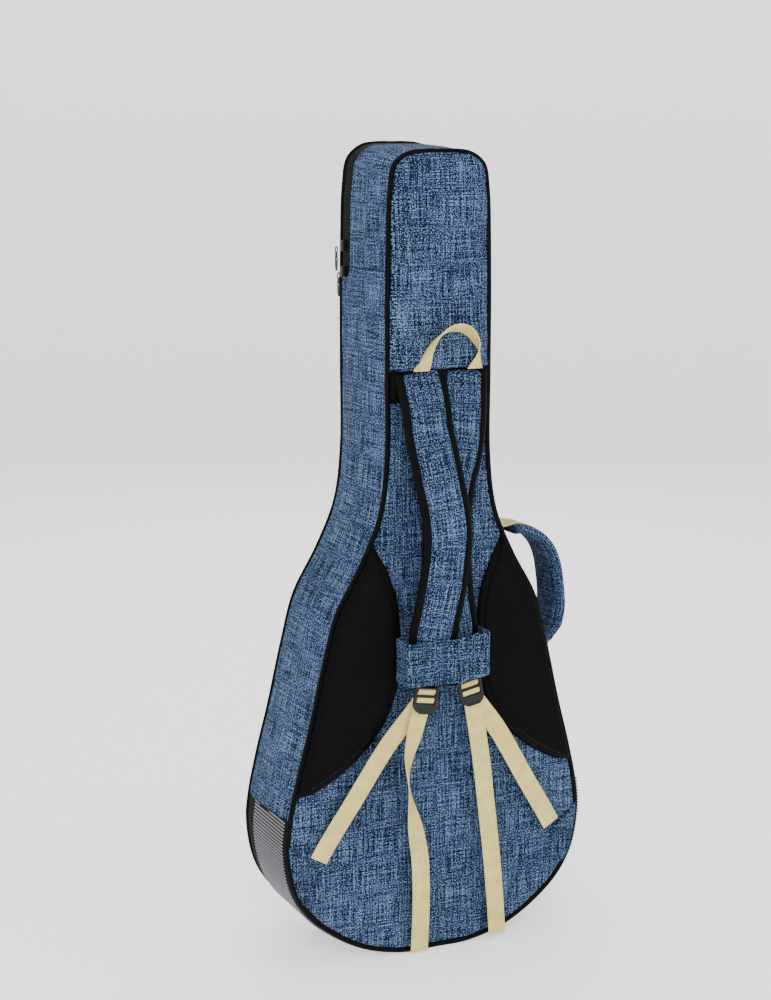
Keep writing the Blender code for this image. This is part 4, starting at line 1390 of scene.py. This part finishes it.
class BAG_OT_strap_sleeve(Builder, bpy.types.Operator):
    """Denim sleeve that holds the straps together, and its flap"""

    bl_idname = "gig_bag.strap_sleeve"
    bl_label = "Strap Sleeve"

    def build(self, sizes):
        low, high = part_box("strap_handle")
        middle_z, tall = (low.z + high.z) / 2, high.z - low.z
        path = self.round_path(low.x, high.x, low.y, high.y)
        section = self.hemmed(tall, 0.0026)
        sides = [Vector((0, 0, 1))] * len(path)
        placed = [Vector((x, y, middle_z + SLEEVE_TILT * max(0.0, x))) for x, y in path]
        sleeve = loft("strap_sleeve", swept(placed, section, sides, ring=True), "canvas", ring=True)
        fitted(finer(sleeve), "shell", "denim", "strap_handle")
        length_of(placed + placed[:1])
        front = low.y - 0.0016
        spread = np.linspace(low.x + 0.012, 0.003, 24)
        lines = [line_on([Vector((x, front, z)) for x in spread]) for z in (low.z + 0.005, high.z - 0.005)]
        stitches("sleeve_stitches", lines, "blue_thread", "shell")
        self.flap()

    def round_path(self, x0, x1, y0, y1):
        """Round the two straps, seen from above, with a crease in front."""
        radius = SLEEVE_CORNER
        path = []
        for cx, cy, start in (
            (x1 - radius, y0 + radius, -90), (x1 - radius, y1 - radius, 0),
            (x0 + radius, y1 - radius, 90), (x0 + radius, y0 + radius, 180),
        ):
            for k in range(7):
                angle = math.radians(start + 15 * k)
                path.append((cx + radius * math.cos(angle), cy + radius * math.sin(angle)))
        front = np.linspace(x0 + radius, x1 - radius, 40)[1:-1]
        for x in front:
            dent = 0.0050 * math.exp(-((x + 0.012) / 0.0028) ** 2)
            dent += 0.0012 * math.exp(-((x + 0.040) / 0.006) ** 2)
            path.append((float(x), y0 + dent - 0.0012 * math.sin(60 * x)))
        return path

    def hemmed(self, tall, thickness):
        """A cloth band's cross-section, thicker along its folded hems."""
        top = []
        for k in range(17):
            share = k / 16
            z = (share - 0.5) * tall
            hem = 1.45 if min(share, 1 - share) * tall < 0.0085 else 1.0
            end = 0.25 if k in (0, 16) else 1.0
            top.append((z, thickness / 2 * hem * end))
        return top + [(z, -y) for z, y in reversed(top)]

    def flap(self):
        low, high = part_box("strap_handle_flap")
        corners = [Vector(corner) for corner in FLAP]
        free, hinged = (corners[0], corners[3]), (corners[1], corners[2])
        pairs = [(free[0].lerp(free[1], t), hinged[0].lerp(hinged[1], t)) for t in np.linspace(0, 1, 20)]
        grid = rows_between(pairs, 18)
        distance = rim_distance(grid, rim_of(grid))
        rise = 0.0034 * crown(distance, 0.0015)
        rise += 0.0011 * (1 - crown(distance - 0.004, 0.002)) * (distance > 0)
        rise = rise + ripple(grid, 0.03, 0.0008, 1.3) * (distance > 0)
        # The flap takes the 0.96 painted-shade copy of the canvas, which sets it apart from the sleeve.
        flap = pad("sleeve_flap", grid, high.y + 0.0002, rise + 0.0006, "canvas_side_painted_shade")
        fitted(finer(flap), "strap_handle_flap", "denim", "strap_handle_flap")
        inner = [corners[a].lerp((corners[0] + corners[2]) / 2, 0.16) for a in (2, 3, 0, 1)]
        ends = [Vector((p.x, low.y - 0.0007, p.y)) for p in inner]
        shares = np.linspace(0, 1, 10)
        lines = [line_on([a.lerp(b, t) for t in shares]) for a, b in zip(ends, ends[1:])]
        stitches("flap_stitches", lines, "pale_thread", "strap_handle_flap", 0.0006)


class BAG_OT_buckles(Builder, bpy.types.Operator):
    """Ladder-lock buckles, with the webbing threaded through them"""

    bl_idname = "gig_bag.buckles"
    bl_label = "Buckles"

    def build(self, sizes):
        for name in BUCKLES:
            node = f"ladder_lock_{name}"
            x, z, turn = BUCKLES[name]
            centre = Vector((x, sum(corner.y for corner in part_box(node)) / 2, z))
            fitted(self.lock(name, centre, turn), node, "hardware_plastic", node)
            self.threaded(name, node, centre, turn)
            self.hanger(name, centre, turn)

    def lock(self, name, centre, turn):
        """Two side rails, three bars and a thumb tab, in one moulding."""
        spin = Matrix.Rotation(turn, 3, "Y")

        def placed(x, out, z):
            return centre + spin @ Vector((x, -out, z))

        bars = []
        for z, out in ((0.0142, 0.0), (0.0035, 0.0006), (-0.0072, 0.0)):
            line = [placed(x, out, z) for x in np.linspace(-0.0160, 0.0160, 9)]
            bars.append(tube("bar", line, 0.0019, "moulded_plastic", facing=Vector((0, -1, 0))))
        for side in (-1, 1):
            line = [placed(side * 0.0152, 0.0002, z) for z in np.linspace(-0.0095, 0.0160, 9)]
            bars.append(tube("rail", line, 0.0021, "moulded_plastic"))
        rows = []
        for t in np.linspace(0, 1, 12):
            reach = 0.0168 * math.sqrt(max(0.02, 1 - (0.92 * t) ** 2.4))
            out = 0.0010 + 0.0022 * t * t
            line = [(x * reach, out) for x in np.linspace(-1, 1, 9)]
            front = [placed(x, o + 0.0013, -0.0068 - 0.0122 * t) for x, o in line]
            behind = [placed(x, o - 0.0013, -0.0068 - 0.0122 * t) for x, o in line]
            rows.append(front + behind[::-1])
        bars.append(loft("tab", rows, "moulded_plastic"))
        return joined(f"buckle_{name}", bars)

    def threaded(self, name, node, centre, turn):
        """Webbing that rises over each bar of the buckle."""
        spin = Matrix.Rotation(turn, 3, "Y")
        path = []
        for k in range(41):
            z = 0.0150 - 0.0230 * k / 40
            out = 0.0011 * math.cos(math.tau * (z - 0.0105) / 0.0115)
            path.append(centre + spin @ Vector((0, -out, z)))
        sides = [spin @ Vector((-1, 0, 0))] * len(path)
        section = webbing_section(0.0245, 0.0014)
        band = loft(f"threaded_webbing_{name}", swept(path, section, sides), "sand_webbing")
        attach(band, node)
        length_of(path)

    def hanger(self, name, centre, turn):
        """Black webbing from the strap's end down to the buckle."""
        spin = Matrix.Rotation(turn, 3, "Y")
        path = [centre + spin @ Vector((0, 0.0028, z)) for z in np.linspace(0.040, 0.0085, 14)]
        sides = [spin @ Vector((-1, 0, 0))] * len(path)
        section = webbing_section(WEBBING, 0.0018)
        band = loft(f"buckle_hanger_{name}", swept(path, section, sides), "bound_cloth")
        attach(band, "shell")
        length_of(path)


class BAG_OT_webbing_tails(Builder, bpy.types.Operator):
    """Loose ends of webbing below the buckles"""

    bl_idname = "gig_bag.webbing_tails"
    bl_label = "Webbing Tails"

    def build(self, sizes):
        for name, places in TAILS.items():
            path = smooth([at_back(*p) for p in places], 9)
            sides = None
            if name == "left":
                turns = [-1.13 * math.exp(-(((p.z - 0.238) / 0.050) ** 2)) for p in path]
                sides = [Vector((-math.cos(turn), math.sin(turn), 0)) for turn in turns]
            section = webbing_section(WEBBING, WEBBING_THICKNESS)
            band = loft(f"tail_{name}", swept(path, section, sides), "sand_webbing")
            fitted(band, "shell", "webbing", f"webbing_tail_{name}")
            length_of(path)


class BAG_OT_hang_loop(Builder, bpy.types.Operator):
    """Webbing loop that the bag hangs from"""

    bl_idname = "gig_bag.hang_loop"
    bl_label = "Hang Loop"

    def build(self, sizes):
        path = smooth([at_back(*p) for p in HANG_LOOP], 8)
        sides = []
        for i in range(len(path)):
            lift = math.sin(math.pi * i / (len(path) - 1)) ** 0.5
            turn = 1 - lift if i < len(path) / 2 else lift - 1
            sides.append(-Vector((turn, -0.8 * lift, 0.45 * lift)))
        section = webbing_section(LOOP_WIDTH, WEBBING_THICKNESS)
        band = loft("loop_webbing", swept(path, section, sides), "sand_webbing")
        fitted(band, "shell", "webbing", "hang_loop")
        length_of(path)


class BAG_OT_side_handle(Builder, bpy.types.Operator):
    """Padded carrying handle, its webbing and the patches under its feet"""

    bl_idname = "gig_bag.side_handle"
    bl_label = "Side Handle"

    def build(self, sizes):
        outer = smooth(in_metres(SIDE_HANDLE), 8)
        middle = offset(outer, 0.0063, closed=False)
        reach = [i for i, p in enumerate(middle) if 4 <= i <= len(middle) - 5]
        grip_path = [Vector((middle[i].x, HANDLE_Y, middle[i].y)) for i in reach]
        along_y = [Vector((0, 1, 0))] * len(grip_path)
        swell = [min(1.0, 0.50 + (p.z - grip_path[-1].z) / 0.05) for p in grip_path]
        section = pad_section(HANDLE_WIDTH, HANDLE_THICKNESS, 16, 5.0)
        grip = loft("handle_grip", swept(grip_path, section, along_y, widths=swell), "canvas")
        fitted(finer(grip), "side_handle", "denim", "side_handle_grip")
        rim = [p + Vector((0, 0.0335 * share, 0)) for p, share in zip(grip_path, swell)]
        band = tube("handle_binding", rim, 0.0030, "bound_cloth", facing=Vector((0, 1, 0)), flat=0.8)
        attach(band, "side_handle")
        sunk = [min(1.0, max(0.0, (p.x - 0.160) / 0.012)) for p in outer]
        inward = offset(outer, 0.006, closed=False)
        top = [p + (q - p) * (0.9 * share) for p, q, share in zip(outer, inward, sunk)]
        top_path = [Vector((p.x, HANDLE_Y, p.y)) for p in top]
        section = webbing_section(HANDLE_WEBBING, WEBBING_THICKNESS, 7)
        along_y = [Vector((0, 1, 0))] * len(top_path)
        strap = loft("handle_strap", swept(top_path, section, along_y), "sand_webbing")
        fitted(strap, "side_handle", "webbing", "side_handle_webbing")
        size = (HANDLE_WEBBING, length_of(top_path))
        for name in ("upper", "lower"):
            self.patch(name)

    def patch(self, name):
        node = f"handle_patch_{name}"
        low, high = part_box(node)
        rows = [i for i, p in enumerate(EDGE) if p.x > 0 and low.z <= p.y <= high.z]
        cloth = gusset_band(
            f"reinforcement_{name}", rows, lambda p: (low.y, high.y), "zip_tape", -0.0014, 0.0014, columns=12
        )
        fitted(cloth, "shell", "black_binding", node)
        lines = []
        for y in (low.y + 0.004, high.y - 0.004):
            lines.append(along_gusset([on_gusset(i, y, 0.0016) for i in rows]))
        stitches(f"reinforcement_stitches_{name}", lines, "black_thread", "shell")


class BAG_OT_front_panel(Builder, bpy.types.Operator):
    """Denim lid and the plush behind it"""

    bl_idname = "gig_bag.front_panel"
    bl_label = "Front Panel"

    def build(self, sizes):
        grid = rows_between(body_pairs(0.0, HEIGHT, 0.0006), 56)
        distance = rim_distance(grid, rim_of(grid))
        height = crown(distance, 0.024) * sizes.front_crown
        height += ripple(grid, 0.10, 0.0016, 11.3) * crown(distance, 0.05)
        height = np.maximum(height, 0) + CLOTH * crown(distance, 0.002)
        cover = pad("front_panel", grid, FRONT - CLOTH, height, "canvas", side=1)
        cover = settled(cover, FRONT - CLOTH, 0.5 * sizes.cap)
        fitted(finer(cover), "lid", "denim", "front_cover")
        inner = rows_between(body_pairs(0.004, HEIGHT - 0.004, 0.004), 24)
        depth = crown(rim_distance(inner, rim_of(inner)), 0.008) * (PANEL_STACK - CLOTH - 0.0006)
        lining = pad("front_padding", inner, FRONT - CLOTH - 0.0003, depth, "plush_pile", side=-1)
        fitted(lining, "lid", "plush", "front_foam", "front_lining")


class BAG_OT_front_pocket(Builder, bpy.types.Operator):
    """Accessory pocket on the lid, with its own zip"""

    bl_idname = "gig_bag.front_pocket"
    bl_label = "Front Pocket"

    def build(self, sizes):
        low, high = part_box("pocket_sides")
        top_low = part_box("pocket_top")[0].z
        face_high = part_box("pocket_face")[1].z
        outer = self.pocket_loop(low.z, high.z)
        face_y = high.y + 0.0003
        sections = []
        for x, z, nx, nz in outer:
            here = Vector((x, 0, z))
            out = Vector((nx, 0, nz))
            rows = [(0, 0.0), (0.0012, 0.3), (0.0016, 0.6), (0.0006, 1.0)]
            depths = [low.y - 0.001 + (face_y + 0.001 - low.y) * t for _, t in rows]
            skin = [here + out * bow + Vector((0, y, 0)) for (bow, _), y in zip(rows, depths)]
            back = [p - out * 0.004 for p in reversed(skin)]
            sections.append(skin + back)
        # The pocket walls take the 0.96 painted-shade copy of the canvas.
        sides = loft("pocket_gusset", sections, "canvas_side_painted_shade", ring=True)
        fitted(sides, "lid", "denim", "pocket_sides")
        for name, node, bottom, top, swell in (
            ("pocket_panel", "pocket_face", low.z, face_high, 0.0045),
            ("pocket_flap", "pocket_top", top_low, high.z, 0.0030),
        ):
            grid = rows_between(self.pairs(bottom, top, low.z, high.z), 40)
            distance = rim_distance(grid, rim_of(grid))
            rise = swell * crown(distance, 0.016)
            rise += ripple(grid, 0.07, 0.0012, 5.2) * crown(distance, 0.03)
            face = pad(name, grid, face_y - 0.001, np.maximum(rise, 0), "canvas", side=1)
            face = settled(face, face_y - 0.001, sizes.cap)
            fitted(finer(face), "lid", "denim", node)
        self.closure(face_y, face_high, top_low, sizes)
        rim = [Vector((x, face_y + 0.0002, z)) for x, z, _, _ in outer]
        ahead = Vector((0, 1, 0))
        cord = tube("pocket_piping", rim, 0.0020, "black_piping", ring=True, facing=ahead)
        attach(cord, "lid")

    def pairs(self, low, high, bottom, top):
        """Left and right places of the pocket between two heights, with its corners rounded."""
        levels = sorted({*np.linspace(low, high, 60), *(low + 0.002 * np.arange(8))})
        pairs = []
        for z in [z for z in levels if z <= high]:
            reach = half_width(z, POCKET_INSET)
            for near, radius in ((z - bottom, POCKET_CORNERS["bottom"]), (top - z, POCKET_CORNERS["top"])):
                if near < radius:
                    reach -= radius - math.sqrt(max(0.0, radius ** 2 - (radius - near) ** 2))
            pairs.append((Vector((-reach, z)), Vector((reach, z))))
        return pairs

    def pocket_loop(self, low, high):
        """Round the pocket: place and outward direction, in x and z."""
        pairs = self.pairs(low, high, low, high)
        right = [b for _, b in pairs]
        left = [a for a, _ in reversed(pairs)]
        bottom = [left[-1].lerp(right[0], t) for t in (0.25, 0.5, 0.75)]
        top = [right[-1].lerp(left[0], t) for t in (0.25, 0.5, 0.75)]
        loop = right + top + left + bottom
        eased = [(loop[i - 1] + 2 * p + loop[(i + 1) % len(loop)]) / 4 for i, p in enumerate(loop)]
        ahead = offset(eased, 1.0)
        return [(p.x, p.y, q.x - p.x, q.y - p.y) for p, q in zip(eased, ahead)]

    def closure(self, face_y, face_high, top_low, sizes):
        grid = rows_between(body_pairs(face_high - 0.003, top_low + 0.003, 0.024), 30)
        rise = crown(rim_distance(grid, rim_of(grid)), 0.002) * 0.0012
        tape = pad("pocket_tape", grid, face_y - 0.001, rise, "zip_tape", side=1)
        fitted(tape, "lid", "black_binding", "pocket_zip_tape")
        width = 2 * half_width(face_high, 0.024)
        middle = (face_high + top_low) / 2
        reach = half_width(middle, 0.026)
        for name, shift in (("pocket_teeth_lower", -0.0010), ("pocket_teeth_upper", 0.0010)):
            spread = np.linspace(-reach, reach, 40)
            places = [Vector((x, face_y + 0.0006, middle + shift)) for x in spread]
            repeated(
                name, "bead", [line_on(places, (0, 1, 0))], sizes.tooth_pitch, (0.0013, 0.0021, 0.0018),
                "moulded_plastic", "lid",
            )
        slider = refined("pocket_slider", "pocket_zip_slider", "moulded_plastic", 0.0016, 3)
        fitted(slider, "pocket_slider", "hardware_metal", "pocket_slider")
        pull = zip_pull("pocket_zip_pull", "pocket_pull", Vector((1, 0, 0)))
        fitted(pull, "pocket_pull", "hardware_metal", "pocket_pull")


class BAG_OT_inside(Builder, bpy.types.Operator):
    """Neck rest and the strap over the guitar's neck"""

    bl_idname = "gig_bag.inside"
    bl_label = "Inside"

    def build(self, sizes):
        rest = refined("neck_rest", "neck_cradle", "plush_pile", 0.0060, 4)
        fitted(rest, "shell", "plush", "neck_rest")
        low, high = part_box("neck_strap")
        middle = (low + high) / 2
        path = [Vector((x, middle.y, middle.z)) for x in np.linspace(low.x, high.x, 30)]
        section = webbing_section(high.z - low.z, 0.0020, 6)
        strap = loft("neck_webbing", swept(path, section, [Vector((0, 0, 1))] * len(path)), "bound_cloth")
        fitted(strap, "neck_strap", "black_binding", "neck_strap")


class BAG_OT_stage(Builder, bpy.types.Operator):
    """Pale floor, soft lights and the camera"""

    bl_idname = "gig_bag.stage"
    bl_label = "Stage"

    def build(self, sizes):
        self.floor()
        self.camera()
        lights = (
            ("key", (-1.5, -2.9, 2.6), 1.2, 62), ("fill", (2.2, -2.2, 1.2), 2.2, 16),
            ("top", (0.0, 0.2, 3.2), 2.2, 34), ("rim", (1.2, 2.6, 2.2), 2.0, 34),
            ("side", (-2.8, 0.6, 1.4), 1.6, 22),
        )
        for name, place, size, power in lights:
            self.light(name, Vector(place), size, power)
        world = bpy.data.worlds.new("studio")
        bpy.context.scene.world = world
        world.use_nodes = True
        world.node_tree.nodes["Background"].inputs["Color"].default_value = (1, 1, 1, 1)
        world.node_tree.nodes["Background"].inputs["Strength"].default_value = 0.7

    def floor(self):
        """A round floor that curves up into a wall on every side."""
        profile = [(0.02, 0), (1.5, 0), (3.0, 0), (5.0, 0)]
        profile += [(5.0 + 2 * math.sin(a), 2 - 2 * math.cos(a)) for a in np.linspace(0.1, 1.45, 14)]
        ground = CAD_BOX[0].z - 0.0005
        rows = []
        for k in range(64):
            turn = math.tau * k / 64
            rows.append([(r * math.cos(turn), r * math.sin(turn), z + ground) for r, z in profile])
        count = len(profile)
        faces = []
        for i in range(64):
            for k in range(count - 1):
                j = (i + 1) % 64
                faces.append((i * count + k, j * count + k, j * count + k + 1, i * count + k + 1))
        faces.append(tuple(i * count for i in reversed(range(64))))
        mesh = bpy.data.meshes.new("floor")
        mesh.from_pydata([p for row in rows for p in row], [], faces)
        mesh.shade_smooth()
        look = Look("studio_floor", 0.9, on_cloth=False)
        cloudy = look.noise((0.6, 0.6, 0.6), 2.0)
        pale = bpy.context.scene.gig_bag_colours.floor
        look.set("Base Color", look.mix(cloudy, shade(pale, 0.985), shade(pale, 1.0)))
        look.set("Emission Color", (*pale, 1.0))
        look.set("Emission Strength", 0.8)
        mesh.materials.append(look.material)
        floor = bpy.data.objects.new("floor", mesh)
        bpy.context.scene.collection.objects.link(floor)

    def light(self, name, place, size, power):
        lamp = bpy.data.lights.new(name, "AREA")
        lamp.shape = "DISK"
        lamp.size = size
        lamp.energy = power
        obj = bpy.data.objects.new(name, lamp)
        obj.location = place
        obj.rotation_euler = (Vector((0, 0, 0.5)) - place).to_track_quat("-Z", "Y").to_euler()
        obj.visible_camera = False
        bpy.context.scene.collection.objects.link(obj)

    def camera(self):
        lens = bpy.data.cameras.new("camera")
        lens.lens = 71.57
        lens.sensor_width = 36
        camera = bpy.data.objects.new("camera", lens)
        camera.location = (-1.1190, -2.3039, 1.0689)
        ahead = Vector((0.4156, 0.8913, -0.1816))
        camera.rotation_euler = ahead.to_track_quat("-Z", "Y").to_euler()
        bpy.context.scene.collection.objects.link(camera)
        bpy.context.scene.camera = camera


OPERATORS = (
    BAG_OT_stage, BAG_OT_back_panel, BAG_OT_gusset, BAG_OT_main_zip, BAG_OT_piping, BAG_OT_upper_back,
    BAG_OT_mesh_pads, BAG_OT_anchors, BAG_OT_shoulder_straps, BAG_OT_strap_sleeve, BAG_OT_buckles,
    BAG_OT_webbing_tails, BAG_OT_hang_loop, BAG_OT_side_handle, BAG_OT_front_panel,
    BAG_OT_front_pocket, BAG_OT_inside,
)


class BAG_PT_panel(bpy.types.Panel):
    """Lists the bag's pieces"""

    bl_idname = "BAG_PT_panel"
    bl_label = "Padded Gig Bag"
    bl_space_type = "VIEW_3D"
    bl_region_type = "UI"
    bl_category = "Gig Bag"

    def draw(self, context):
        for operator in OPERATORS:
            self.layout.operator(operator.bl_idname)
        for settings in (context.scene.gig_bag_sizes, context.scene.gig_bag_colours):
            box = self.layout.box()
            for name in settings.__annotations__:
                box.prop(settings, name)


CLASSES = (BagColours, BagSizes, *OPERATORS, BAG_PT_panel)


def register():
    for cls in CLASSES:
        bpy.utils.register_class(cls)
    bpy.types.Scene.gig_bag_colours = bpy.props.PointerProperty(type=BagColours)
    bpy.types.Scene.gig_bag_sizes = bpy.props.PointerProperty(type=BagSizes)


def unregister():
    del bpy.types.Scene.gig_bag_sizes
    del bpy.types.Scene.gig_bag_colours
    for cls in reversed(CLASSES):
        bpy.utils.unregister_class(cls)


def main():
    register()
    for operator in OPERATORS:
        group, name = operator.bl_idname.split(".")
        getattr(getattr(bpy.ops, group), name)()


if __name__ == "__main__":
    main()
